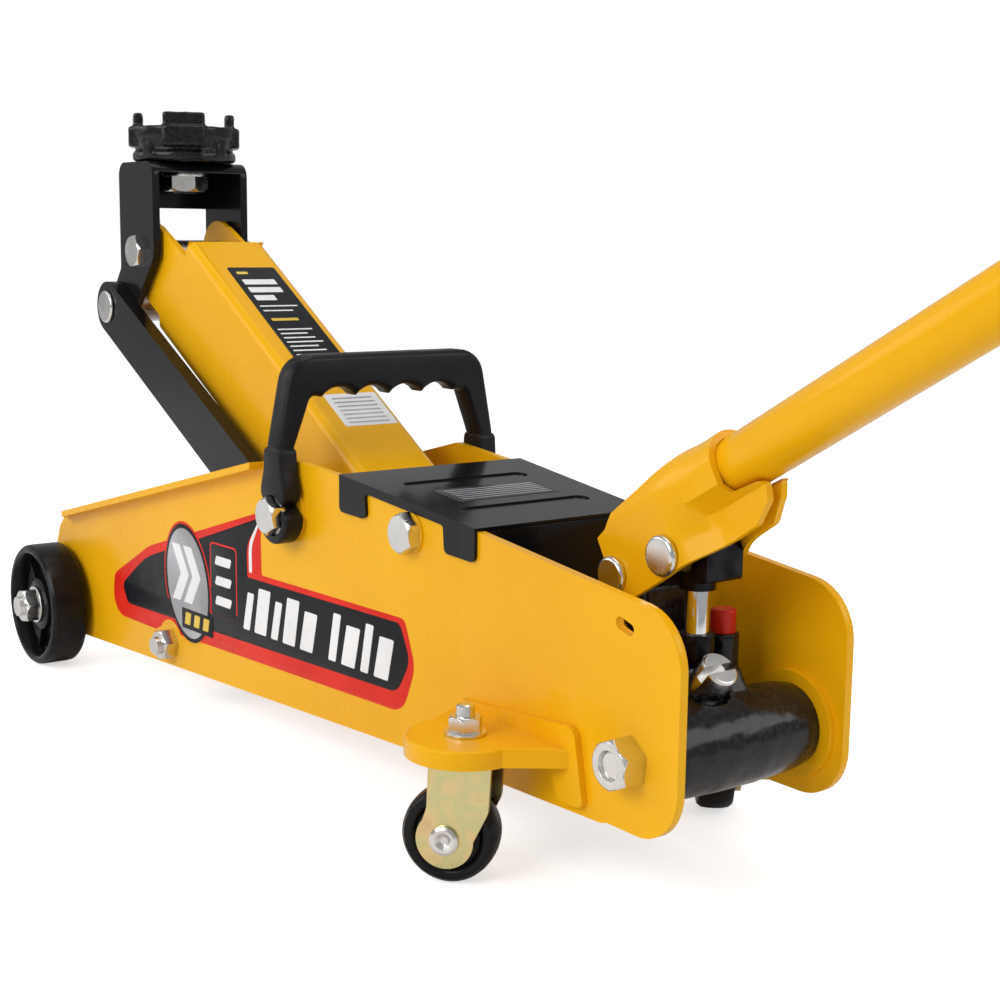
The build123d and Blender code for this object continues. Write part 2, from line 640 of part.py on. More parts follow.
with BuildPart() as saddle_nut:
    ring(Plane.XY.offset(BRACKET_TOP_Z - 6.1), (SADDLE_X, 0), 14, 8.02, -2)
    hexagon(Plane.XY.offset(BRACKET_TOP_Z - 8.1), (SADDLE_X, 0), 24, -9, hole=8.02)
save(saddle_nut.part, "saddle_nut")

# ---------------------------------------------------------------- hydraulic unit
PLUG_AT = (44.0, 19.0)   # X, Y of the filler plug
with BuildPart() as power_unit_base:
    trunnion_end = REAR_HALF - PLATE_T
    with BuildSketch(Plane(origin=(BASE_AXIS[0], 0, BASE_AXIS[1]), x_dir=(0, 1, 0), z_dir=(1, 0, 0))):
        Polygon(
            (-trunnion_end, 0), (-trunnion_end, 17), (-34, 19), (-12, 20), (12, 20),
            (34, 19), (trunnion_end, 17), (trunnion_end, 0), align=None,
        )
    revolve(axis=Axis((BASE_AXIS[0], 0, BASE_AXIS[1]), (0, 1, 0)))
    with BuildSketch(side(0)) as block:
        outline(block, [
            (22, 42, 4), (22, 84, 0), (56, 84, 4), (64, 68, 4), (62, 46, 6),
        ])
    extrude(amount=25, both=True)
    with BuildSketch(side(0)) as pump_block:
        outline(pump_block, [
            (22, 80, 0), (22, 101, 4), (31, 101, 0), (31, 96, 0), (62, 96, 4), (68, 84, 3), (62, 70, 0),
        ])
    extrude(amount=13, both=True)
    disc(facing_x(BLOCK_FRONT_X - 2), (0, RAM_Z), TANK_R + 1.5, 10)
    with BuildSketch(side(0)) as lug:
        outline(lug, [
            (23, 80, 0), (31, 80, 0), (29, 124, 0), (26, 129.5, 0), (6, 129.5, 0), (8, 120, 0), (23, 102, 3),
        ])
        with Locations(SOCKET_PIN):
            Circle(10)
    extrude(amount=13, both=True)
    disc(Plane.XY.offset(80), PLUG_AT, 7, 26)
    disc(facing_x(BLOCK_FRONT_X - 1), (0, RAM_Z), BORE_R + 5 + 0.02, 4, Mode.SUBTRACT)
    disc(facing_x(BLOCK_FRONT_X - 2), (0, RAM_Z), TANK_R + 0.02, 2, Mode.SUBTRACT)
    disc(Plane.XY.offset(66), (PLUNGER_X, 0), PLUNGER_R + RUN, 60, Mode.SUBTRACT)
    disc(side(-30), SOCKET_PIN, 6 + RUN, -60, Mode.SUBTRACT)
    for end in (-trunnion_end, trunnion_end - 20):
        disc(side(end), BASE_AXIS, 6.05, -20, Mode.SUBTRACT)
    disc(Plane.XY.offset(101), PLUG_AT, 4.02, 10, Mode.SUBTRACT)
    valve_axis = Plane(origin=(58, -7, 86), x_dir=(0, 1, 0), z_dir=(0.643, 0, 0.766))
    disc(valve_axis.offset(-3), (0, 0), 5 + RUN, 40, Mode.SUBTRACT)
    disc(valve_axis.offset(3), (0, 0), 10, 40, Mode.SUBTRACT)
save(power_unit_base.part, "power_unit_base")

with BuildPart() as trunnion_bolts:
    disc(side(-REAR_HALF - 9.5), BASE_AXIS, 6, -(9.5 + PLATE_T + 18))
    chamfer(trunnion_bolts.edges().group_by(Axis.Y)[0], 1.2)
    mirror(about=Plane.XZ)
save(trunnion_bolts.part, "trunnion_bolts")

with BuildPart() as trunnion_nuts:
    hexagon(side(-REAR_HALF), BASE_AXIS, 19, 11, hole=6.02, turn=24)
    mirror(about=Plane.XZ)
save(trunnion_nuts.part, "trunnion_nuts")

with BuildPart() as reservoir_tank:
    ring(facing_x(TANK_FRONT_X), (0, RAM_Z), TANK_R, TANK_R - 2.5, BLOCK_FRONT_X - TANK_FRONT_X)
    ring(facing_x(TANK_FRONT_X), (0, RAM_Z), TANK_R, BORE_R + 5 + 0.02, 4)
    fillet(reservoir_tank.edges().group_by(Axis.X)[0].sort_by(SortBy.LENGTH)[-1], 3)
save(reservoir_tank.part, "reservoir_tank")

with BuildPart() as pressure_cylinder:
    ring(facing_x(-50), (0, RAM_Z), BORE_R + 5, BORE_R + RUN, 50 + BLOCK_FRONT_X + 3)
save(pressure_cylinder.part, "pressure_cylinder")

with BuildPart() as tank_nut:
    hexagon(facing_x(TANK_FRONT_X), (0, RAM_Z), 46, -6, hole=BORE_R + 5.02)
save(tank_nut.part, "tank_nut")

with BuildPart() as gland_bush:
    ring(facing_x(-50), (0, RAM_Z), BORE_R + RUN - 0.02, ROD_R + RUN, 10)
save(gland_bush.part, "gland_bush")

with BuildPart() as ram:
    disc(facing_x(RAM_PIN[0] + 12), (0, RAM_Z), ROD_R, 72)
    disc(facing_x(RAM_PIN[0] + 75), (0, RAM_Z), BORE_R, 10)
save(ram.part, "ram")

with BuildPart() as ram_yoke:
    with BuildSketch(side(0)) as yoke:
        outline(yoke, [
            (RAM_PIN[0] - 12, 52.5, 5), (RAM_PIN[0] + 12, 52.5, 3),
            (RAM_PIN[0] + 12, 84.5, 3), (RAM_PIN[0] - 12, 84.5, 5),
        ])
        with Locations((RAM_PIN[0], 68.6)):
            SlotOverall(20.4, 14.8, rotation=90, mode=Mode.SUBTRACT)
    extrude(amount=16, both=True)
save(ram_yoke.part, "ram_yoke")

with BuildPart() as filler_plug:
    disc(Plane.XY.offset(101), PLUG_AT, 4, 5)
    disc(Plane.XY.offset(106.02), PLUG_AT, 5.5, 10)
    fillet(filler_plug.edges().group_by(Axis.Z)[-1], 1.5)
save(filler_plug.part, "filler_plug")

with BuildPart() as release_valve:
    disc(valve_axis.offset(-2), (0, 0), 5, 7)
    disc(valve_axis.offset(4), (0, 0), 8, 14)
    fillet(release_valve.edges().sort_by(Axis(valve_axis.origin, valve_axis.z_dir))[-1], 1.2)
    with BuildSketch(valve_axis.offset(18)):
        Rectangle(24, 3.4)
    extrude(amount=-6, mode=Mode.SUBTRACT)
save(release_valve.part, "release_valve")

# ---------------------------------------------------------------- pump
with BuildPart() as pump_barrel:
    ring(Plane.XY.offset(96), (PLUNGER_X, 0), 7.5, PLUNGER_R + RUN, 13)
save(pump_barrel.part, "pump_barrel")

with BuildPart() as pump_plunger:
    disc(Plane.XY.offset(82), (PLUNGER_X, 0), PLUNGER_R, 49)
save(pump_plunger.part, "pump_plunger")

with BuildPart() as plunger_head:
    disc(Plane.XY.offset(127.5), (PLUNGER_X, 0), 7.5, 6.5)
    disc(Plane.XY.offset(127.5), (PLUNGER_X, 0), PLUNGER_R + 0.02, 3.5, Mode.SUBTRACT)
    jaw = 6.8
    with BuildSketch(side(0)) as eye:
        outline(eye, [
            (31.5, PUMP_PIN[1] - 10.2, 2), (63, PUMP_PIN[1] - 10.2, 2), (63, PUMP_PIN[1] + 6, 0),
            (58.5, PUMP_PIN[1] + 10.2, 2), (31.5, PUMP_PIN[1] + 10.2, 2), (31.5, PUMP_PIN[1] + jaw, 0),
            (54, PUMP_PIN[1] + jaw, 3), (54, PUMP_PIN[1] - jaw, 3), (31.5, PUMP_PIN[1] - jaw, 0),
        ])
    extrude(amount=10, both=True)
save(plunger_head.part, "plunger_head")

# ---------------------------------------------------------------- handle
handle_dir = (cos(radians(HANDLE_ANGLE)), 0, sin(radians(HANDLE_ANGLE)))


def handle_plane(axis_x):
    """Plane across the handle where its axis is at axis_x; local x is Y, normal outwards."""
    rise = handle_dir[2] / handle_dir[0]
    z = TUBE_POINT[1] + rise * (axis_x - TUBE_POINT[0])
    return Plane(origin=(axis_x, 0, z), x_dir=(0, 1, 0), z_dir=handle_dir)


TUBE_START_X = 50.0
TUBE_JOINT_X = 268.0
GRIP_R = 14.5
GRIP_EDGE = 3.0
grip_end_x = OVERALL_HALF_LENGTH - GRIP_EDGE + handle_dir[0] * GRIP_EDGE - handle_dir[2] * (GRIP_R - GRIP_EDGE)
joint_length = (TUBE_JOINT_X - TUBE_START_X) / handle_dir[0]
upper_length = (grip_end_x - TUBE_JOINT_X) / handle_dir[0]

with BuildPart() as handle_socket:
    with BuildSketch(side(0)) as cheek_side:
        outline(cheek_side, [
            (-1, 138, 1), (9, 147.5, 1), (12, 155, 1), (26, 171, 2), (60, 197.5, 0), (77, 168, 0),
            (90, 173, 2), (85.5, 160, 3), (43, 131.2, 6), (28, 121.5, 4), (10, 118, 8),
        ])
    extrude(amount=SOCKET_HALF, both=True)
    with BuildSketch(handle_plane(-60)):
        Circle(SOCKET_HALF)
        with Locations((0, -40)):
            Rectangle(2 * SOCKET_HALF, 80)
    extrude(amount=400, mode=Mode.INTERSECT)
    with BuildSketch(handle_plane(-60)):
        Circle(SOCKET_HALF - SOCKET_T)
        with Locations((0, -40)):
            Rectangle(2 * (SOCKET_HALF - SOCKET_T), 80)
    extrude(amount=(TUBE_START_X - 4 + 60) / handle_dir[0], mode=Mode.SUBTRACT)
    with BuildSketch(handle_plane(-60)):
        Circle(TUBE_R + 0.02)
        with Locations((0, -49)):
            Rectangle(2 * (SOCKET_HALF - SOCKET_T), 80)
    extrude(amount=400, mode=Mode.SUBTRACT)
    disc(side(-30), SOCKET_PIN, 6, -60, Mode.SUBTRACT)
    disc(side(-30), PUMP_PIN, 4.5, -60, Mode.SUBTRACT)
save(handle_socket.part, "handle_socket")


def rivet(centre, shank_r, head_r):
    """Pin across the socket with a low domed head on each cheek."""
    disc(side(-SOCKET_HALF), centre, shank_r, -2 * SOCKET_HALF)
    disc(side(-SOCKET_HALF), centre, head_r, 3)
    disc(side(SOCKET_HALF), centre, head_r, -3)


with BuildPart() as socket_pivot_pin:
    rivet(SOCKET_PIN, 6, 8)
    fillet(socket_pivot_pin.edges().group_by(Axis.Y)[0] + socket_pivot_pin.edges().group_by(Axis.Y)[-1], 1.8)
save(socket_pivot_pin.part, "socket_pivot_pin")

with BuildPart() as pump_link_pin:
    rivet(PUMP_PIN, 4.5, 8.5)
    fillet(pump_link_pin.edges().group_by(Axis.Y)[0] + pump_link_pin.edges().group_by(Axis.Y)[-1], 1.8)
save(pump_link_pin.part, "pump_link_pin")

with BuildPart() as handle_tube_lower:
    ring(handle_plane(TUBE_START_X), (0, 0), TUBE_R, TUBE_R - 2, joint_length)
save(handle_tube_lower.part, "handle_tube_lower")

with BuildPart() as handle_tube_upper:
    ring(handle_plane(TUBE_JOINT_X), (0, 0), TUBE_R, TUBE_R - 4, upper_length - 3)
    ring(handle_plane(TUBE_JOINT_X), (0, 0), TUBE_R - 2.02, TUBE_R - 4, -40)
save(handle_tube_upper.part, "handle_tube_upper")

with BuildPart() as handle_grip:
    grip_start = upper_length - 115
    disc(handle_plane(TUBE_JOINT_X).offset(grip_start), (0, 0), GRIP_R, 115)
    fillet(handle_grip.edges().sort_by(Axis((0, 0, 0), handle_dir))[-1], GRIP_EDGE)
    disc(handle_plane(TUBE_JOINT_X).offset(grip_start), (0, 0), TUBE_R, 112, Mode.SUBTRACT)
save(handle_grip.part, "handle_grip")

# ---------------------------------------------------------------- carry handle
BAR_TOP = 209.0
CARRY_IN = plate_half(CARRY_PIVOT[0]) + PAD_H + 0.2
CARRY_OUT = CARRY_IN + 10.5
with BuildPart() as carry_handle:
    with BuildSketch(facing_x(CARRY_PIVOT[0])) as hoop:
        outline(hoop, [
            (-CARRY_OUT, 129.5, 0), (-CARRY_OUT, 162, 5), (-60.5, 170, 5), (-58, BAR_TOP, 17),
            (58, BAR_TOP, 17), (60.5, 170, 5), (CARRY_OUT, 162, 5), (CARRY_OUT, 129.5, 0),
            (CARRY_IN, 129.5, 0), (CARRY_IN, 159.5, 3), (48.5, 168, 5), (46, 190, 9), (-46, 190, 9),
            (-48.5, 168, 5), (-CARRY_IN, 159.5, 3), (-CARRY_IN, 129.5, 0),
        ])
    extrude(amount=11.5, both=True)
    for hand in (1, -1):
        disc(side(-hand * CARRY_OUT), CARRY_PIVOT, 14.5, -hand * (CARRY_OUT - CARRY_IN))
        disc(side(-hand * CARRY_OUT), CARRY_PIVOT, 10.5, -hand * 3, Mode.SUBTRACT)
    disc(side(-100), CARRY_PIVOT, 5 + RUN, -200, Mode.SUBTRACT)
save(carry_handle.part, "carry_handle")

with BuildPart() as carry_handle_bolts:
    disc(side(-CARRY_OUT + 2.9), CARRY_PIVOT, 9.5, 1.5)
    hexagon(side(-CARRY_OUT + 1.4), CARRY_PIVOT, 17, 6, turn=30)
    disc(side(-CARRY_OUT + 2.9), CARRY_PIVOT, 5, -22)
    mirror(about=Plane.XZ)
save(carry_handle_bolts.part, "carry_handle_bolts")

with BuildPart() as carry_handle_nuts:
    hexagon(side(-plate_half(CARRY_PIVOT[0]) + PLATE_T + PAD_H), CARRY_PIVOT, 17, -6, hole=5.02)
    mirror(about=Plane.XZ)
save(carry_handle_nuts.part, "carry_handle_nuts")
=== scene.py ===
import json
from math import atan2, cos, hypot, pi, radians, sin

import bmesh
import bpy
from mathutils import Matrix, Vector
from mathutils import noise as noise_field


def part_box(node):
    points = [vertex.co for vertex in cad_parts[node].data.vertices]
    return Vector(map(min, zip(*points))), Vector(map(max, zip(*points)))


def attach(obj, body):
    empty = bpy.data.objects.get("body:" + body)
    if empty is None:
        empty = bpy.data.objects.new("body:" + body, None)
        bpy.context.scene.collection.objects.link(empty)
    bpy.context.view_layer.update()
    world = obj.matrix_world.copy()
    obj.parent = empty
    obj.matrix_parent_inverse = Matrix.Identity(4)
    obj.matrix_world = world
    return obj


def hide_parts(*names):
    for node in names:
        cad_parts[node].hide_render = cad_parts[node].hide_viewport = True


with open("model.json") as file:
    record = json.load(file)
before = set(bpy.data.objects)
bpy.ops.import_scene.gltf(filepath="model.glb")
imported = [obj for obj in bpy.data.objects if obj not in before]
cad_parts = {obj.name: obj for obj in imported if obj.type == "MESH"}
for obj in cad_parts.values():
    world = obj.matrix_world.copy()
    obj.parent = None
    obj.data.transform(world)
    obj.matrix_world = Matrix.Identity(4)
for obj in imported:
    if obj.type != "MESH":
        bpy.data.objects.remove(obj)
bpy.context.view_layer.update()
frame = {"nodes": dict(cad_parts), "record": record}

MM = 0.001


# ================================================================ materials
def new_material(name):
    """Empty node material; returns (material, nodes, links, Principled node, coordinate node)."""
    mat = bpy.data.materials.new(name)
    mat.use_nodes = True
    nodes = mat.node_tree.nodes
    links = mat.node_tree.links
    surface = nodes["Principled BSDF"]
    coords = nodes.new("ShaderNodeTexCoord")
    return mat, nodes, links, surface, coords


def noise(nodes, links, coords, scale, detail=4.0, stretch=(1, 1, 1)):
    """Noise over object coordinates, in features per metre, stretched along an axis if asked."""
    mapping = nodes.new("ShaderNodeMapping")
    mapping.inputs["Scale"].default_value = stretch
    links.new(coords.outputs["Object"], mapping.inputs["Vector"])
    tex = nodes.new("ShaderNodeTexNoise")
    tex.inputs["Scale"].default_value = scale
    tex.inputs["Detail"].default_value = detail
    links.new(mapping.outputs["Vector"], tex.inputs["Vector"])
    return tex.outputs["Fac"]


def ramp(nodes, links, source, stops):
    """Colour ramp with (position, colour) stops."""
    node = nodes.new("ShaderNodeValToRGB")
    elements = node.color_ramp.elements
    while len(elements) < len(stops):
        elements.new(0.5)
    for element, (position, colour) in zip(elements, stops):
        element.position = position
        element.color = (*colour, 1)
    links.new(source, node.inputs["Fac"])
    return node.outputs["Color"]


def remap(nodes, links, source, low, high):
    """Stretches the middle of a noise onto a range of values."""
    node = nodes.new("ShaderNodeMapRange")
    node.inputs["From Min"].default_value = 0.3
    node.inputs["From Max"].default_value = 0.7
    node.inputs["To Min"].default_value = low
    node.inputs["To Max"].default_value = high
    links.new(source, node.inputs["Value"])
    return node.outputs["Result"]


def bump(nodes, links, surface, source, strength, depth):
    """Adds a bump layer of the given depth in metres on top of any earlier one."""
    node = nodes.new("ShaderNodeBump")
    node.inputs["Strength"].default_value = strength
    node.inputs["Distance"].default_value = depth
    links.new(source, node.inputs["Height"])
    if surface.inputs["Normal"].is_linked:
        links.new(surface.inputs["Normal"].links[0].from_socket, node.inputs["Normal"])
    links.new(node.outputs["Normal"], surface.inputs["Normal"])


def paint(name, dark, light, rough, coat, specular, tint=(1, 1, 1), peel=0.00006, peel_scale=260):
    """Sprayed enamel: slow colour drift, orange-peel bump, smears in the gloss and a clear top."""
    mat, nodes, links, surface, coords = new_material(name)
    drift = noise(nodes, links, coords, 9, 3)
    links.new(ramp(nodes, links, drift, [(0.3, dark), (0.7, light)]), surface.inputs["Base Color"])
    smear = noise(nodes, links, coords, 22, 4)
    links.new(remap(nodes, links, smear, rough * 0.85, rough * 1.2), surface.inputs["Roughness"])
    surface.inputs["Specular IOR Level"].default_value = specular
    surface.inputs["Specular Tint"].default_value = (*tint, 1)
    surface.inputs["Coat Weight"].default_value = coat
    surface.inputs["Coat Roughness"].default_value = 0.06
    bump(nodes, links, surface, noise(nodes, links, coords, peel_scale, 2), 0.25, peel)
    bump(nodes, links, surface, noise(nodes, links, coords, 16, 2), 0.3, 0.0005)
    return mat


def casting(name, dark, light, rough):
    """Painted sand casting: pebbled skin under a thick gloss coat."""
    mat, nodes, links, surface, coords = new_material(name)
    pebble = noise(nodes, links, coords, 420, 5)
    links.new(ramp(nodes, links, pebble, [(0.35, dark), (0.75, light)]), surface.inputs["Base Color"])
    links.new(remap(nodes, links, pebble, rough * 0.6, rough * 1.5), surface.inputs["Roughness"])
    surface.inputs["Specular IOR Level"].default_value = 0.22
    surface.inputs["Coat Weight"].default_value = 0.2
    surface.inputs["Coat Roughness"].default_value = 0.12
    bump(nodes, links, surface, noise(nodes, links, coords, 110, 3), 0.5, 0.0004)
    bump(nodes, links, surface, pebble, 0.4, 0.0002)
    return mat


def metal(name, dark, light, rough, stretch=(1, 1, 1), scale=140, depth=0.00008):
    """Bare or plated metal: fine drawn lines, blotchy roughness and slight stain."""
    mat, nodes, links, surface, coords = new_material(name)
    stain = noise(nodes, links, coords, scale, 5)
    links.new(ramp(nodes, links, stain, [(0.32, dark), (0.68, light)]), surface.inputs["Base Color"])
    surface.inputs["Metallic"].default_value = 1.0
    blotch = noise(nodes, links, coords, scale * 2.2, 6)
    links.new(remap(nodes, links, blotch, rough * 0.6, rough * 1.5), surface.inputs["Roughness"])
    lines = noise(nodes, links, coords, 900, 3, stretch)
    bump(nodes, links, surface, lines, 0.3, depth)
    return mat


def passivated(name):
    """Yellow zinc passivation: gold plate with green and rose interference patches."""
    mat, nodes, links, surface, coords = new_material(name)
    patches = noise(nodes, links, coords, 48, 2)
    tint = ramp(nodes, links, patches, [
        (0.30, (0.58, 0.42, 0.16)), (0.44, (0.70, 0.57, 0.27)), (0.52, (0.60, 0.56, 0.28)),
        (0.60, (0.74, 0.58, 0.28)), (0.72, (0.68, 0.42, 0.24)),
    ])
    links.new(tint, surface.inputs["Base Color"])
    surface.inputs["Metallic"].default_value = 1.0
    links.new(remap(nodes, links, patches, 0.22, 0.38), surface.inputs["Roughness"])
    bump(nodes, links, surface, noise(nodes, links, coords, 600, 4), 0.25, 0.0001)
    return mat


def moulded(name, dark, light, rough, grain_scale=1400, depth=0.00006):
    """Moulded plastic or rubber: fine tool grain, uneven sheen."""
    mat, nodes, links, surface, coords = new_material(name)
    cloud = noise(nodes, links, coords, 30, 4)
    links.new(ramp(nodes, links, cloud, [(0.3, dark), (0.7, light)]), surface.inputs["Base Color"])
    surface.inputs["Specular IOR Level"].default_value = 0.2
    sheen = noise(nodes, links, coords, 90, 5)
    links.new(remap(nodes, links, sheen, rough * 0.8, rough * 1.3), surface.inputs["Roughness"])
    bump(nodes, links, surface, noise(nodes, links, coords, grain_scale, 3), 0.4, depth)
    return mat


YELLOW = paint("yellow_enamel", (0.84, 0.41, 0.003), (0.92, 0.47, 0.005), 0.28, 0.14, 0.3,
               (1.0, 0.72, 0.22))
BLACK = paint("black_enamel", (0.004, 0.004, 0.005), (0.008, 0.008, 0.009), 0.18, 0.15, 0.16)
CAST = casting("black_casting", (0.003, 0.003, 0.004), (0.014, 0.014, 0.016), 0.22)
ZINC = metal("bright_zinc", (0.66, 0.65, 0.63), (0.78, 0.77, 0.75), 0.22, scale=60)
STEEL = metal("turned_steel", (0.34, 0.34, 0.35), (0.55, 0.55, 0.56), 0.30)
CHROME = metal("hard_chrome", (0.72, 0.72, 0.74), (0.86, 0.86, 0.88), 0.08, depth=0.00002)
OXIDE = metal("black_oxide", (0.010, 0.010, 0.012), (0.03, 0.03, 0.034), 0.34)
GOLD_ZINC = passivated("yellow_passivate")
WHEEL = moulded("wheel_polymer", (0.003, 0.003, 0.004), (0.009, 0.009, 0.010), 0.24)
HANDLE_PLASTIC = moulded("handle_polymer", (0.005, 0.005, 0.006), (0.012, 0.012, 0.014), 0.34)
RUBBER = moulded("grip_rubber", (0.008, 0.008, 0.008), (0.018, 0.018, 0.018), 0.62, 900, 0.0001)
RED_PLASTIC = moulded("red_polymer", (0.50, 0.016, 0.008), (0.68, 0.03, 0.012), 0.28)
DECAL_BLACK = moulded("decal_black", (0.004, 0.005, 0.007), (0.009, 0.010, 0.013), 0.26, 700, 0.00002)
DECAL_RED = moulded("decal_red", (0.66, 0.018, 0.008), (0.80, 0.028, 0.012), 0.28, 700, 0.00002)
DECAL_WHITE = moulded("decal_white", (0.80, 0.80, 0.80), (0.90, 0.90, 0.90), 0.30, 700, 0.00002)
DECAL_GREY = moulded("decal_grey", (0.30, 0.30, 0.32), (0.52, 0.52, 0.55), 0.30, 60, 0.00002)
DECAL_DARK_GREY = moulded("decal_dark_grey", (0.02, 0.02, 0.022), (0.05, 0.05, 0.055), 0.3, 60, 0.00002)
DECAL_GOLD = moulded("decal_gold", (0.70, 0.45, 0.05), (0.85, 0.62, 0.12), 0.30, 700, 0.00002)

BY_SLOT = {
    "yellow_paint": YELLOW, "black_paint": BLACK, "black_cast": CAST, "zinc_steel": ZINC,
    "yellow_zinc": GOLD_ZINC, "bare_steel": STEEL, "black_plastic": WHEEL, "grip_rubber": RUBBER,
    "chrome": CHROME, "black_steel": OXIDE, "red_plastic": RED_PLASTIC,
}
SLOT_OF = {mat.name: slot for slot, mat in BY_SLOT.items()}
SLOT_OF.update({
    HANDLE_PLASTIC.name: "black_plastic", DECAL_BLACK.name: "black_plastic", DECAL_RED.name: "red_plastic",
    DECAL_DARK_GREY.name: "black_plastic", DECAL_WHITE.name: "zinc_steel", DECAL_GREY.name: "zinc_steel",
    DECAL_GOLD.name: "yellow_zinc",
})


# ================================================================ mesh helpers
SIDE_LEFT = Matrix(((1, 0, 0, 0), (0, 0, -1, 0), (0, 1, 0, 0), (0, 0, 0, 1)))   # x, z, towards -Y
ACROSS = Matrix(((0, 0, 1, 0), (1, 0, 0, 0), (0, 1, 0, 0), (0, 0, 0, 1)))       # y, z, towards +X
UPRIGHT = Matrix.Identity(4)                                                     # x, y, up


def arc_points(centre, radius, start, end, count):
    """Points of an arc, angles in degrees."""
    return [
        (centre[0] + radius * cos(radians(start + (end - start) * i / count)),
         centre[1] + radius * sin(radians(start + (end - start) * i / count)))
        for i in range(count + 1)
    ]


def rounded(corners, step=10.0):
    """Outline of (x, y, radius) corners with each corner turned into an arc."""
    outline = []
    count = len(corners)
    for i, (x, y, radius) in enumerate(corners):
        here = Vector((x, y))
        back = Vector(corners[i - 1][:2]) - here
        ahead = Vector(corners[(i + 1) % count][:2]) - here
        if radius <= 0:
            outline.append((x, y))
            continue
        half_angle = back.angle(ahead) / 2
        reach = radius / max(1e-6, abs(sin(half_angle) / cos(half_angle)))
        bisector = (back.normalized() + ahead.normalized()).normalized()
        centre = here + bisector * (radius / sin(half_angle))
        first = here + back.normalized() * reach - centre
        last = here + ahead.normalized() * reach - centre
        start = atan2(first.y, first.x)
        sweep = (atan2(last.y, last.x) - start + pi) % (2 * pi) - pi
        steps = max(2, int(abs(sweep) / radians(step)))
        for k in range(steps + 1):
            angle = start + sweep * k / steps
            outline.append((centre.x + radius * cos(angle), centre.y + radius * sin(angle)))
    return outline


def finish_mesh(name, mesh, place, mat, body, node=None, sharp=32):
    """Places a mesh made in local millimetres, shades it and lets it ride."""
    mesh.transform(place @ Matrix.Scale(MM, 4))
    mesh.materials.append(mat)
    mesh.polygons.foreach_set("use_smooth", [True] * len(mesh.polygons))
    mesh.set_sharp_from_angle(angle=radians(sharp))
    obj = bpy.data.objects.new(name, mesh)
    bpy.context.scene.collection.objects.link(obj)
    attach(obj, body)
    if node:
        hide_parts(node)
    return obj


def sheet_mesh(name, loops, low, high, edge):
    """Mesh of a flat sheet between two heights, from an outline and its holes, edges rounded."""
    curve = bpy.data.curves.new(name, "CURVE")
    curve.dimensions = "2D"
    curve.fill_mode = "BOTH"
    curve.extrude = (high - low) / 2 - edge
    curve.bevel_depth = edge
    curve.bevel_resolution = 2
    curve.offset = -edge
    for points in loops:
        spline = curve.splines.new("POLY")
        spline.points.add(len(points) - 1)
        for point, (x, y) in zip(spline.points, points):
            point.co = (x, y, 0, 1)
        spline.use_cyclic_u = True
    holder = bpy.data.objects.new(name, curve)
    mesh = bpy.data.meshes.new_from_object(holder)
    mesh.name = name
    bpy.data.objects.remove(holder)
    bpy.data.curves.remove(curve)
    mesh.transform(Matrix.Translation((0, 0, (low + high) / 2)))
    weld(mesh)
    return mesh


def weld(mesh, distance=1e-4):
    """Joins coincident points and turns all faces outwards."""
    bm = bmesh.new()
    bm.from_mesh(mesh)
    bmesh.ops.remove_doubles(bm, verts=bm.verts, dist=distance)
    bmesh.ops.recalc_face_normals(bm, faces=bm.faces)
    bm.to_mesh(mesh)
    bm.free()


def lathe_mesh(name, profile, segments=72, closed=False):
    """Mesh turned about local Z from (radius, height) points."""
    bm = bmesh.new()
    rings = []
    for radius, height in profile:
        if radius < 1e-6:
            rings.append([bm.verts.new((0, 0, height))])
            continue
        rings.append([
            bm.verts.new((radius * cos(2 * pi * i / segments), radius * sin(2 * pi * i / segments), height))
            for i in range(segments)
        ])
    pairs = list(zip(rings, rings[1:]))
    if closed:
        pairs.append((rings[-1], rings[0]))
    for lower, upper in pairs:
        for i in range(segments):
            j = (i + 1) % segments
            corners = [(lower, i), (lower, j), (upper, j), (upper, i)]
            unique = list(dict.fromkeys(ring[k % len(ring)] for ring, k in corners))
            if len(unique) > 2:
                bm.faces.new(unique)
    bmesh.ops.recalc_face_normals(bm, faces=bm.faces)
    mesh = bpy.data.meshes.new(name)
    bm.to_mesh(mesh)
    bm.free()
    return mesh


def box_mesh(name, low, high, edge, segments=2):
    """Block with rounded edges."""
    bm = bmesh.new()
    bmesh.ops.create_cube(bm, size=1)
    for vert in bm.verts:
        vert.co = Vector([(a + b) / 2 + c * (b - a) for a, b, c in zip(low, high, vert.co)])
    bmesh.ops.bevel(bm, geom=bm.edges, offset=edge, segments=segments, affect="EDGES", profile=0.5)
    mesh = bpy.data.meshes.new(name)
    bm.to_mesh(mesh)
    bm.free()
    return mesh


def combine(name, base, others, operation="UNION"):
    """Boolean of meshes, exact solver; the operands are used up."""
    holder = bpy.data.objects.new(name, base)
    bpy.context.scene.collection.objects.link(holder)
    tools = []
    for i, other in enumerate(others):
        tool = bpy.data.objects.new(f"{name}_tool_{i}", other)
        bpy.context.scene.collection.objects.link(tool)
        tools.append(tool)
        step = holder.modifiers.new(f"step_{i}", "BOOLEAN")
        step.operation = operation
        step.solver = "EXACT"
        step.object = tool
    evaluated = holder.evaluated_get(bpy.context.evaluated_depsgraph_get())
    mesh = bpy.data.meshes.new_from_object(evaluated)
    mesh.name = name
    for obj in [holder, *tools]:
        bpy.data.objects.remove(obj)
    weld(mesh)
    return mesh


def reshaped(mesh, modifiers):
    """The mesh after the given (type, settings) modifiers, in its own units."""
    holder = bpy.data.objects.new(mesh.name, mesh)
    bpy.context.scene.collection.objects.link(holder)
    for i, (kind, settings) in enumerate(modifiers):
        step = holder.modifiers.new(f"step_{i}", kind)
        for key, value in settings.items():
            setattr(step, key, value)
    result = bpy.data.meshes.new_from_object(
        holder.evaluated_get(bpy.context.evaluated_depsgraph_get()))
    bpy.data.objects.remove(holder)
    return result


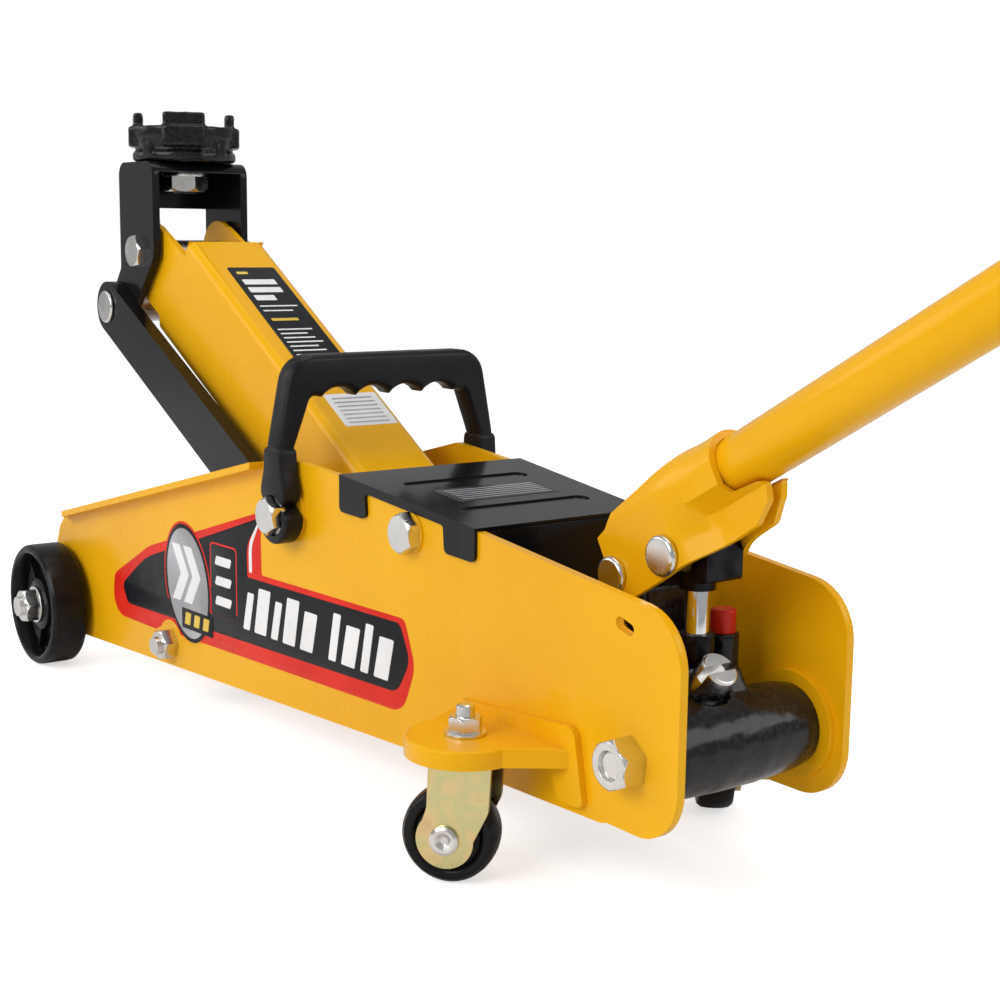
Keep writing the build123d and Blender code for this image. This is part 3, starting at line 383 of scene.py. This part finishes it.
def roughen(mesh, height, frequency):
    """Pushes every point along its normal by smooth noise: a cast skin, in the mesh's own units."""
    shifts = [
        vert.normal * height * noise_field.noise(vert.co * frequency) for vert in mesh.vertices
    ]
    for vert, shift in zip(mesh.vertices, shifts):
        vert.co += shift


def smooth(t):
    """Smooth step from 0 to 1."""
    t = min(1.0, max(0.0, t))
    return t * t * (3 - 2 * t)


def soften(obj, width):
    """Small rounded bevel on the sharp edges of a new piece."""
    bevel = obj.modifiers.new("edge_round", "BEVEL")
    bevel.width = width * MM
    bevel.segments = 2
    bevel.limit_method = "ANGLE"
    bevel.angle_limit = radians(40)
    bevel.harden_normals = True


# ================================================================ places taken from the frame
JOINTS = {joint["name"]: joint for joint in frame["record"]["behaviour"]["joints"]}


def pivot(joint):
    """Position of a joint at rest, in millimetres."""
    return Vector(JOINTS[joint]["pos_m"]) / MM


def box_mm(node):
    """Low and high corner of a CAD node, in millimetres."""
    low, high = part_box(node)
    return Vector(low) / MM, Vector(high) / MM


def rotation_to(axis):
    """Rotation that takes local Z to the axis."""
    return Vector(axis).to_track_quat("Z", "Y").to_matrix().to_4x4()


HANDLE_ANGLE = radians(30.15)              # slope of the handle tube
HANDLE_POINT = Vector((77.7, 0, 185.6))    # a point of its axis, near the socket's mouth


# ================================================================ carry handle
def build_carry_handle():
    """Moulded hoop with finger waves under the bar, ending in flat eyes beside the plates."""
    centre = pivot("carry_fold")
    high = box_mm("carry_handle")[1]
    reach = high.y
    bar_top = high.z
    bar_low = bar_top - 19
    eye_r = 14.5
    eye_t = 10.5
    finger = 20.0
    underside = [
        (y, bar_low - 2.2 + 4.6 * abs(sin(pi * (y + 2 * finger) / finger)) ** 0.75, 0)
        for y in [2 * finger - i * finger / 12 for i in range(49)]
    ]
    outside = reach - 0.8
    inside = reach - 9.9
    foot = centre.z + 22
    hoop = rounded([
        (-outside, foot, 0), (-outside, centre.z + 35, 12), (-57, bar_top, 15), (57, bar_top, 15),
        (outside, centre.z + 35, 12), (outside, foot, 0), (inside, foot, 0), (inside, centre.z + 32.5, 8),
        (46.5, bar_low - 1, 4), *underside, (-46.5, bar_low - 1, 4), (-inside, centre.z + 32.5, 8),
        (-inside, foot, 0),
    ])
    body = sheet_mesh("hoop", [hoop], -7, 7, 3.0)
    body.transform(Matrix.Translation((centre.x, 0, 0)) @ ACROSS)
    flank = [(14.4, 6, 6), (9, 22, 10), (8, 34, 3)]
    outline = rounded([(centre.x + x, centre.z + z, r) for x, z, r in flank]
                      + [(centre.x - x, centre.z + z, r) for x, z, r in reversed(flank)])
    outline += arc_points((centre.x, centre.z), eye_r, 180, 360, 24)
    eyes = []
    recesses = []
    for hand in (-1, 1):
        eye = sheet_mesh("eye", [outline], reach - eye_t, reach, 1.6)
        eye.transform(SIDE_LEFT)
        if hand > 0:
            eye.transform(Matrix.Scale(-1, 4, (0, 1, 0)))
            weld(eye)
        eyes.append(eye)
        recess = lathe_mesh("recess", [(0, 0), (5.05, 0), (5.05, 20), (10.4, 20), (10.4, 30), (0, 30)], 48)
        turn = Matrix.Rotation(radians(90) * -hand, 4, "X")
        recess.transform(Matrix.Translation((centre.x, hand * (reach - 23), centre.z)) @ turn)
        recesses.append(recess)
    body = combine("carry_handle_skin", body, eyes)
    body = combine("carry_handle_skin", body, recesses, "DIFFERENCE")
    finish_mesh("carry_handle_skin", body, UPRIGHT, HANDLE_PLASTIC, "carry_handle", "carry_handle", 50)


# ================================================================ saddle
def build_saddle():
    """Cast cup with four stepped lugs on its rim."""
    centre = pivot("saddle_swivel")
    low, high = box_mm("saddle")
    base_z = centre.z
    top = high.z
    rim = top - 8
    seat = top - 17
    lug_turn = -26.0
    cup = lathe_mesh("cup", [
        (0, low.z), (8, low.z), (8, base_z + 0.2), (29, base_z + 0.2), (31, base_z + 1.6), (31, base_z + 5),
        (28.6, base_z + 8), (31, base_z + 12), (32.4, base_z + 15), (32.5, rim), (28.5, rim),
        (26.5, seat + 1), (0, seat),
    ], 96)
    lugs = []
    for i in range(4):
        mid = lug_turn + 90 * i
        for inner, outer, bottom, height in ((24.5, 33.4, seat - 3, rim), (24.5, 30.4, rim - 2, top)):
            block = rounded([
                (inner, -12.5, 2), (outer - 0.6, -12.5, 2), (outer, 0, 30), (outer - 0.6, 12.5, 2),
                (inner, 12.5, 2),
            ], 12)
            lug = sheet_mesh("lug", [block], bottom, height, 1.2)
            lug.transform(Matrix.Rotation(radians(mid), 4, "Z"))
            lugs.append(lug)
        rib = rounded([(26, -4, 1.5), (31.6, -4, 1.5), (31.6, 4, 1.5), (26, 4, 1.5)])
        gusset = sheet_mesh("gusset", [rib], base_z + 3, rim - 4, 1.0)
        gusset.transform(Matrix.Rotation(radians(mid + 45), 4, "Z"))
        lugs.append(gusset)
    mesh = combine("saddle_cast", cup, lugs)
    mesh = reshaped(mesh, [
        ("REMESH", {"mode": "VOXEL", "voxel_size": 0.8}),
        ("SMOOTH", {"factor": 0.6, "iterations": 3}),
    ])
    roughen(mesh, 0.3, 0.16)
    finish_mesh("saddle_cast", mesh, Matrix.Translation((centre.x * MM, centre.y * MM, 0)), CAST, "saddle",
                "saddle", 80)


def build_cast(node, body, voxel, height, mat, bore=None):
    """Cast copy of a CAD node: voxel skin, softened corners and a slightly uneven surface.
    A bore is given as (centre, radius, bottom, top) and is cut clean after that."""
    mesh = frame["nodes"][node].data.copy()
    mesh.transform(Matrix.Scale(1 / MM, 4))
    mesh.materials.clear()
    weld(mesh, 0.01)
    mesh = reshaped(mesh, [
        ("REMESH", {"mode": "VOXEL", "voxel_size": voxel}),
        ("SMOOTH", {"factor": 0.6, "iterations": 4}),
    ])
    roughen(mesh, height, 0.14)
    if bore:
        centre, radius, bottom, top = bore
        drill = lathe_mesh("drill", [(0, bottom), (radius, bottom), (radius, top), (0, top)], 48)
        drill.transform(Matrix.Translation((*centre, 0)))
        mesh = combine(node + "_cast", mesh, [drill], "DIFFERENCE")
    finish_mesh(node + "_cast", mesh, UPRIGHT, mat, body, node, 80)


# ================================================================ wheels
def build_front_wheels():
    """Wide moulded wheels with a dished, ribbed web."""
    for hand, label in ((-1, "left"), (1, "right")):
        node = "front_wheel_" + label
        low, high = box_mm(node)
        hub = pivot("front_wheel_spin_" + label)
        outer = (high.z - low.z) / 2
        width = high.y - low.y
        profile = [
            (6.05, 0.6), (6.05, width - 4.2), (14, width - 4), (16, width - 5), (17.5, width - 11),
            (27, width - 12.5), (30.5, width - 10), (31.6, width - 2), (32.6, width - 0.5),
            (34, width), (36, width - 0.4), (outer - 0.2, width - 2), (outer, width - 4), (outer, 4),
            (outer - 0.2, 2), (36, 0.4), (34, 0), (32.6, 0.5), (31.6, 2), (30.5, 6), (17.5, 6.5),
            (15, 1.5), (13.5, 0.6),
        ]
        wheel = lathe_mesh(node, profile, 96, closed=True)
        ribs = []
        for i in range(6):
            rib = box_mesh("rib", (16, -1.4, width - 14), (31.5, 1.4, width - 7.5), 0.8)
            rib.transform(Matrix.Rotation(radians(60 * i + 12), 4, "Z"))
            ribs.append(rib)
        wheel = combine(node + "_moulding", wheel, ribs)
        turn = Matrix.Rotation(radians(90) * -hand, 4, "X")
        inner_y = low.y if hand > 0 else high.y
        wheel.transform(Matrix.Translation((hub.x, inner_y, hub.z)) @ turn)
        finish_mesh(node + "_moulding", wheel, UPRIGHT, WHEEL, node, node, 30)


def build_caster_wheels():
    """Narrow caster wheels and their hollow rivets."""
    low, high = box_mm("caster_wheel_left")
    edge = (high.z - low.z) / 2
    half = [
        (4.05, 8.2), (7.6, 8.5), (8.6, 7.2), (edge - 7, 6.6), (edge - 5.4, 8.0), (edge - 4, 8.5),
        (edge - 2, 8.2), (edge - 0.6, 6.4), (edge - 0.1, 3.2),
    ]
    profile = half + [(edge, 0)] + [(r, -h) for r, h in reversed(half)]
    rivet = [(0, 0.2), (1.6, 0.3), (2.6, 1.1), (3.6, 2.0), (5.0, 2.2), (6.2, 1.6), (6.5, 0.4), (6.5, 0)]
    for label in ("left", "right"):
        joint = JOINTS["caster_spin_" + label]
        hub = pivot("caster_spin_" + label)
        turn = rotation_to(joint["axis"])
        wheel = lathe_mesh("caster_wheel_" + label, profile, 80, closed=True)
        wheel.transform(Matrix.Translation(hub) @ turn)
        finish_mesh(f"caster_wheel_{label}_moulding", wheel, UPRIGHT, WHEEL, "caster_wheel_" + label,
                    "caster_wheel_" + label, 30)
        fork_half = 12.2
        pin = [(0, -fork_half - 0.2)] + [(r, -fork_half - h) for r, h in rivet[1:]]
        pin += [(4, -fork_half), (4, fork_half)] + [(r, fork_half + h) for r, h in reversed(rivet)]
        axle = lathe_mesh("caster_axle_" + label, pin, 48)
        axle.transform(Matrix.Translation(hub) @ turn)
        finish_mesh(f"caster_axle_{label}_rivet", axle, UPRIGHT, ZINC, "caster_" + label,
                    "caster_axle_" + label, 30)


# ================================================================ handle socket
def build_handle_socket():
    """Sheet bent over the handle tube, with flat cheeks at the pins and a pinched lower edge behind."""
    hinge = pivot("handle_pump")
    pump_pin = Vector((46, 0, 142.6))
    along = Vector((cos(HANDLE_ANGLE), 0, sin(HANDLE_ANGLE)))
    up = Vector((-sin(HANDLE_ANGLE), 0, cos(HANDLE_ANGLE)))
    sheet = 3.2
    outer = 17.9
    inner = outer - sheet
    mouth_r = 15.4
    pinch_half = 4.6
    start = -84
    length = 92
    stations = 44
    around = 36
    depth = 62.0
    bm = bmesh.new()
    shells = []
    for wall in (outer, inner):
        rows = []
        for i in range(stations + 1):
            s = start + length * i / stations
            pinch = smooth((s + 44) / 26)
            radius = wall - pinch * (outer - mouth_r)
            row = []
            for k in range(around + 1):
                u = -1 + 2 * k / around
                if abs(u) <= 0.5:
                    a = u * 2 * radians(90)
                    y, v = radius * sin(a), radius * cos(a)
                else:
                    d = (abs(u) - 0.5) / 0.5 * depth
                    tuck = pinch * smooth((d - 6) / 10)
                    spread = pinch * smooth((d - 18) / 8)
                    side = radius - tuck * (radius - (pinch_half - (outer - wall))) + spread * 2.2
                    y, v = side * (1 if u > 0 else -1), -d
                row.append(bm.verts.new(HANDLE_POINT + along * s + up * v + Vector((0, y, 0))))
            rows.append(row)
        shells.append(rows)
    for rows in shells:
        for lower, upper in zip(rows, rows[1:]):
            for k in range(around):
                bm.faces.new((lower[k], lower[k + 1], upper[k + 1], upper[k]))
    for i in range(stations):
        for k in (0, around):
            bm.faces.new((shells[0][i][k], shells[0][i + 1][k], shells[1][i + 1][k], shells[1][i][k]))
    for k in range(around):
        for i in (0, stations):
            bm.faces.new((shells[0][i][k], shells[0][i][k + 1], shells[1][i][k + 1], shells[1][i][k]))
    bmesh.ops.recalc_face_normals(bm, faces=bm.faces)
    channel = bpy.data.meshes.new("socket_channel")
    bm.to_mesh(channel)
    bm.free()
    outline = rounded([
        (-0.6, 137.8, 1.5), (9.6, 147.6, 1.5), (12, 154.8, 1.5), (26, 166.5, 6), (59.5, 197.4, 1),
        (74.6, 171.2, 1.5), (89, 178.2, 2), (90, 170, 3), (85.4, 159.4, 4), (78, 154.5, 4),
        (42.9, 130.8, 8), (28, 121.6, 4), (12, 118.2, 8), (6.5, 122, 4),
    ])
    side = sheet_mesh("socket_side", [outline], -40, 40, 0.3)
    side.transform(SIDE_LEFT)
    mesh = combine("handle_socket_sheet", channel, [side], "INTERSECT")
    holes = []
    for centre, radius in ((hinge, 6), (pump_pin, 4.5)):
        hole = lathe_mesh("hole", [(0, -40), (radius, -40), (radius, 40), (0, 40)], 32)
        hole.transform(Matrix.Translation(centre) @ Matrix.Rotation(radians(90), 4, "X"))
        holes.append(hole)
    mesh = combine("handle_socket_sheet", mesh, holes, "DIFFERENCE")
    obj = finish_mesh("handle_socket_sheet", mesh, UPRIGHT, YELLOW, "handle", "handle_socket", 55)
    soften(obj, 0.35)


# ================================================================ carried-over CAD pieces
def dress_cad(bevel_widths):
    """Gives every CAD node its slot's material and softens its edges."""
    for part in frame["record"]["subparts"]:
        obj = frame["nodes"][part["node"]]
        obj.data.materials.clear()
        obj.data.materials.append(BY_SLOT[part["material_slot"]])
        join = obj.modifiers.new("weld", "WELD")
        join.merge_threshold = 0.00001
        bevel = obj.modifiers.new("edge_round", "BEVEL")
        bevel.width = bevel_widths.get(part["node"], 0.4) * MM
        bevel.segments = 2
        bevel.limit_method = "ANGLE"
        bevel.angle_limit = radians(35)
        bevel.harden_normals = True


dress_cad({"side_plate_left": 0.6, "side_plate_right": 0.6, "lift_arm": 0.6, "saddle_bracket": 1.2,
           "power_unit_base": 1.0})


# ================================================================ decals and labels
FLARE = 0.05125            # spread of each side plate per millimetre forwards
FLARE_HALF = -45.4375      # where the left plate's face would meet X 0
FLARE_LEFT = Matrix(((1, 0, FLARE, 0), (FLARE, 0, -1, FLARE_HALF), (0, 1, 0, 0), (0, 0, 0, 1)))  # x, z, out
ARM_SLOPE = -0.605         # rise of the arm's web per millimetre rearwards, at rest
ARM_Z = 45.12              # where the web's plane would meet X 0
ARM_WEB = Matrix(((1, 0, 0.5176, 0), (0, 1, 0, 0), (ARM_SLOPE, 0, 0.8556, ARM_Z), (0, 0, 0, 1)))  # x, y, out
FILM = 0.2                 # thickness of a printed film, mostly sunk in its panel
PANEL_EDGE = rounded([
    (-334, 41.6, 6), (-388, 41.6, 13), (-384.5, 66, 8), (-340, 89.5, 40), (-208.6, 128.8, 1),
    (-217.8, 116, 12), (-217.2, 92.8, 1.5), (-92.5, 93.4, 5), (-84.2, 72, 14), (-93.5, 48.4, 13),
    (-300, 43.6, 0),
]) + arc_points((-316.5, 36.5), 13.7, 32, 146, 8)
PANEL_FIELD = rounded([
    (-368, 50.6, 6), (-374.5, 61.5, 5), (-345, 82, 60), (-217, 123.4, 1), (-231.8, 107, 16),
    (-231.3, 89.5, 1), (-96, 90.7, 5), (-88, 74, 10), (-98, 57.2, 10),
])
# Thin white crescent along the left edge of the red crescent: a painted highlight, not print.
PANEL_PAINTED_HIGHLIGHT = rounded([
    (-218, 121.5, 0), (-226.6, 107, 12), (-226.6, 92.5, 0.5), (-229.4, 92.5, 0.5), (-229.6, 107.5, 14),
    (-221.5, 118.6, 0),
])


def upright_bar(x, width, low, high, radius):
    """Upright bar from its left edge."""
    return rounded([(x, low, radius), (x + width, low, radius), (x + width, high, radius), (x, high, radius)])


def slanted_bar(x, width, low, high, lean, radius):
    """Bar from its lower left corner, its top shifted by the lean."""
    return rounded([
        (x, low, radius), (x + width, low, radius), (x + width + lean, high, radius),
        (x + lean, high, radius),
    ])


def oval(centre, half_long, half_short, tilt, count=64):
    """Ellipse outline, long axis tilted from the second axis by an angle in degrees."""
    turn = radians(tilt)
    return [
        (centre[0] + half_short * cos(a) * cos(turn) - half_long * sin(a) * sin(turn),
         centre[1] + half_short * cos(a) * sin(turn) + half_long * sin(a) * cos(turn))
        for a in (2 * pi * i / count for i in range(count))
    ]


def print_layer(name, outlines, place, lift, mat, body, mirrored=False):
    """Thin printed film: a sheet whose face stands proud of the panel by the lift."""
    mesh = sheet_mesh(name, outlines, lift - FILM, lift, 0.03)
    mesh.transform(place)
    if mirrored:
        mesh.transform(Matrix.Scale(-1, 4, (0, 1, 0)))
        weld(mesh)
    finish_mesh(name, mesh, UPRIGHT, mat, body)


def build_side_panels():
    """Plain generic graphics on both side plates: a banded panel, an oval badge and slanted bars; the thin
    white crescent in the panel is a painted highlight.
    """
    bars = []
    x = -236.0
    for i, width in enumerate((9, 14, 9, 14, 14, 9, 14, 9, 14)):
        x += 9.5 if i == 5 else 0
        bars.append(rounded([
            (x, 61, 0.8), (x + width - 2.6, 61, 0.8), (x + width + 2.4, 85.5 if i % 2 else 81.5, 0.8),
            (x + 5, 85.5 if i % 2 else 81.5, 0.8),
        ]))
        x += width + 2.2
    badge = (-295.5, 75)
    chevrons = [[
        (badge[0] + shift - 8, 96), (badge[0] + shift + 1, 96), (badge[0] + shift + 11, 80),
        (badge[0] + shift + 1, 64), (badge[0] + shift - 8, 64), (badge[0] + shift + 2, 80),
    ] for shift in (-9, 4)]
    foot = upright_bar(-302, 34, 49, 60.5, 1)
    foot_bars = [slanted_bar(x, 6, 51.5, 58.5, 1.5, 0.5) for x in (-299, -289, -279)]
    tag = upright_bar(-270, 28, 63, 103, 3)
    tag_field = upright_bar(-269, 26, 64, 102, 2.4)
    tag_bars = [slanted_bar(-265, 16, z, z + 5, 2, 1) for z in (69, 80, 91)]
    layers = (
        ("red", [PANEL_EDGE], 0.10, DECAL_RED),
        ("black", [PANEL_FIELD], 0.16, DECAL_BLACK),
        # This white layer holds the painted highlight crescent and the printed slanted bars.
        ("white", [PANEL_PAINTED_HIGHLIGHT, *bars], 0.22, DECAL_WHITE),
        ("badge_edge", [oval(badge, 35, 25.6, 14), tag], 0.22, DECAL_RED),
        ("badge_ring", [oval(badge, 33.6, 24.4, 14), tag_field], 0.28, DECAL_BLACK),
        ("badge_field", [oval(badge, 31.2, 22.2, 14)], 0.34, DECAL_GREY),
        ("badge_foot", [foot], 0.40, DECAL_BLACK),
        ("badge_marks", [*chevrons, *tag_bars], 0.40, DECAL_WHITE),
        ("badge_foot_bars", foot_bars, 0.46, DECAL_GOLD),
    )
    for side in ("left", "right"):
        for part, outlines, lift, mat in layers:
            print_layer(f"panel_{side}_{part}", outlines, FLARE_LEFT, lift, mat, "chassis", side == "right")


def build_arm_labels():
    """Labels without wording on the web of the lifting arm."""
    black = upright_bar(-336, 86, -13, 18, 1.5)
    print_layer("arm_label_black", [black], ARM_WEB, 0.12, DECAL_BLACK, "lift_arm")
    heads = [upright_bar(x, 4.5, -9, far, 0.5) for x, far in ((-325, 12), (-318, 12), (-311, 4))]
    rows = (-302, -298, -282, -278.5, -275, -271.5, -268, -264.5, -261, -257.5)
    lines = [upright_bar(x, 1, -10, 14 - (i * 5) % 8, 0.2) for i, x in enumerate(rows)]
    print_layer("arm_label_lines_light", heads + lines, ARM_WEB, 0.20, DECAL_WHITE, "lift_arm")
    accents = [upright_bar(x, 2.2, -9, far, 0.4) for x, far in ((-332, -2), (-291, 8))]
    print_layer("arm_label_accents", accents, ARM_WEB, 0.20, DECAL_GOLD, "lift_arm")
    white = upright_bar(-229, 24, -12.5, 20, 1)
    print_layer("arm_label_white", [white], ARM_WEB, 0.12, DECAL_WHITE, "lift_arm")
    lines = [upright_bar(x, 1, -9, 16, 0.2) for x in range(-226, -207, 3)]
    print_layer("arm_label_lines", lines, ARM_WEB, 0.20, DECAL_GREY, "lift_arm")


def build_cover_details():
    """Plain plate on the sloping top cover and the dark skirt closing it at the rear."""
    low, high = box_mm("top_cover")
    slope = -0.1087
    place = Matrix(((1, 0, -slope, 0), (0, 1, 0, 0), (slope, 0, 1, high.z - slope * low.x), (0, 0, 0, 1)))
    print_layer("cover_plate", [upright_bar(-101, 22, -29, 31, 1.5)], place, 0.12, DECAL_DARK_GREY, "chassis")
    lines = [upright_bar(x, 0.8, -25, 27, 0.2) for x in range(-98, -81, 3)]
    print_layer("cover_plate_lines", lines, place, 0.18, DECAL_GREY, "chassis")
    skirt_top = high.z + slope * (high.x - low.x) - 1.8
    outline = rounded([(-43.4, 112, 2), (43.4, 112, 2), (43.4, skirt_top, 0), (-43.4, skirt_top, 0)])
    skirt = sheet_mesh("cover_skirt", [outline], -0.8, 0.8, 0.4)
    skirt.transform(Matrix.Translation((high.x - 1, 0, 0)) @ ACROSS)
    finish_mesh("cover_skirt", skirt, UPRIGHT, BLACK, "chassis")


build_side_panels()
build_arm_labels()
build_cover_details()
build_carry_handle()
build_saddle()
build_cast("power_unit_base", "chassis", 1.1, 0.25, CAST, bore=((48, 0), 5.4, 65, 120))
build_cast("ram_yoke", "ram", 1.1, 0.25, CAST)
build_front_wheels()
build_caster_wheels()
build_handle_socket()


# ================================================================ stage
def area_light(name, location, target, size, energy):
    """Soft rectangular lamp aimed at a point."""
    data = bpy.data.lights.new(name, "AREA")
    data.shape = "RECTANGLE"
    data.size, data.size_y = size
    data.energy = energy
    lamp = bpy.data.objects.new(name, data)
    lamp.location = location
    lamp.rotation_euler = (Vector(target) - Vector(location)).to_track_quat("-Z", "Y").to_euler()
    bpy.context.scene.collection.objects.link(lamp)


def build_stage():
    """Pale floor and white room; both read as plain white to the camera, and are dimmer as light."""
    mesh = bpy.data.meshes.new("floor")
    half = 12.0
    mesh.from_pydata([(-half, -half, 0), (half, -half, 0), (half, half, 0), (-half, half, 0)], [],
                     [(0, 1, 2, 3)])
    floor = bpy.data.objects.new("floor", mesh)
    bpy.context.scene.collection.objects.link(floor)
    mat, nodes, links, surface, coords = new_material("pale_floor")
    tone = noise(nodes, links, coords, 2, 2)
    links.new(ramp(nodes, links, tone, [(0.3, (0.90, 0.90, 0.90)), (0.7, (0.93, 0.93, 0.93))]),
              surface.inputs["Base Color"])
    surface.inputs["Roughness"].default_value = 0.6
    mesh.materials.append(mat)
    surface.inputs["Emission Color"].default_value = (1, 1, 1, 1)
    seen_directly = nodes.new("ShaderNodeLightPath")
    glow = nodes.new("ShaderNodeMath")
    glow.operation = "MULTIPLY"
    glow.inputs[1].default_value = 0.62
    links.new(seen_directly.outputs["Is Camera Ray"], glow.inputs[0])
    links.new(glow.outputs["Value"], surface.inputs["Emission Strength"])
    world = bpy.data.worlds.new("studio")
    world.use_nodes = True
    nodes = world.node_tree.nodes
    links = world.node_tree.links
    seen = nodes["Background"]
    seen.inputs["Color"].default_value = (1, 1, 1, 1)
    seen.inputs["Strength"].default_value = 1.0
    room = nodes.new("ShaderNodeBackground")
    room.inputs["Color"].default_value = (1, 1, 1, 1)
    room.inputs["Strength"].default_value = 0.42
    rays = nodes.new("ShaderNodeLightPath")
    mix = nodes.new("ShaderNodeMixShader")
    links.new(rays.outputs["Is Camera Ray"], mix.inputs["Fac"])
    links.new(room.outputs["Background"], mix.inputs[1])
    links.new(seen.outputs["Background"], mix.inputs[2])
    links.new(mix.outputs["Shader"], nodes["World Output"].inputs["Surface"])
    bpy.context.scene.world = world
    area_light("key", (0.1, -1.9, 1.2), (-0.1, 0, 0.12), (1.3, 1.0), 19.5)
    area_light("fill", (-1.5, -1.3, 0.9), (-0.2, 0, 0.15), (1.2, 0.9), 6)
    area_light("top", (-0.1, 0.2, 1.8), (-0.1, 0, 0.1), (1.4, 1.0), 8)
    area_light("rim", (1.1, 0.9, 0.9), (0, 0, 0.15), (1.0, 0.8), 6)


def build_camera():
    """Three-quarter view from behind the handle end, a little above the cover."""
    yaw, pitch, roll = radians(53.1), radians(9.2), radians(0.7)
    forward = Vector((-sin(yaw) * cos(pitch), cos(yaw) * cos(pitch), -sin(pitch)))
    data = bpy.data.cameras.new("camera")
    data.sensor_width = 36
    data.lens = 58.55
    data.clip_start = 0.01
    camera = bpy.data.objects.new("camera", data)
    turn = forward.to_track_quat("-Z", "Y").to_matrix().to_4x4() @ Matrix.Rotation(roll, 4, "Z")
    camera.matrix_world = Matrix.Translation((0.5184, -0.4547, 0.2680)) @ turn
    bpy.context.scene.collection.objects.link(camera)
    bpy.context.scene.camera = camera


build_stage()
build_camera()
bpy.context.scene.view_settings.view_transform = "Standard"
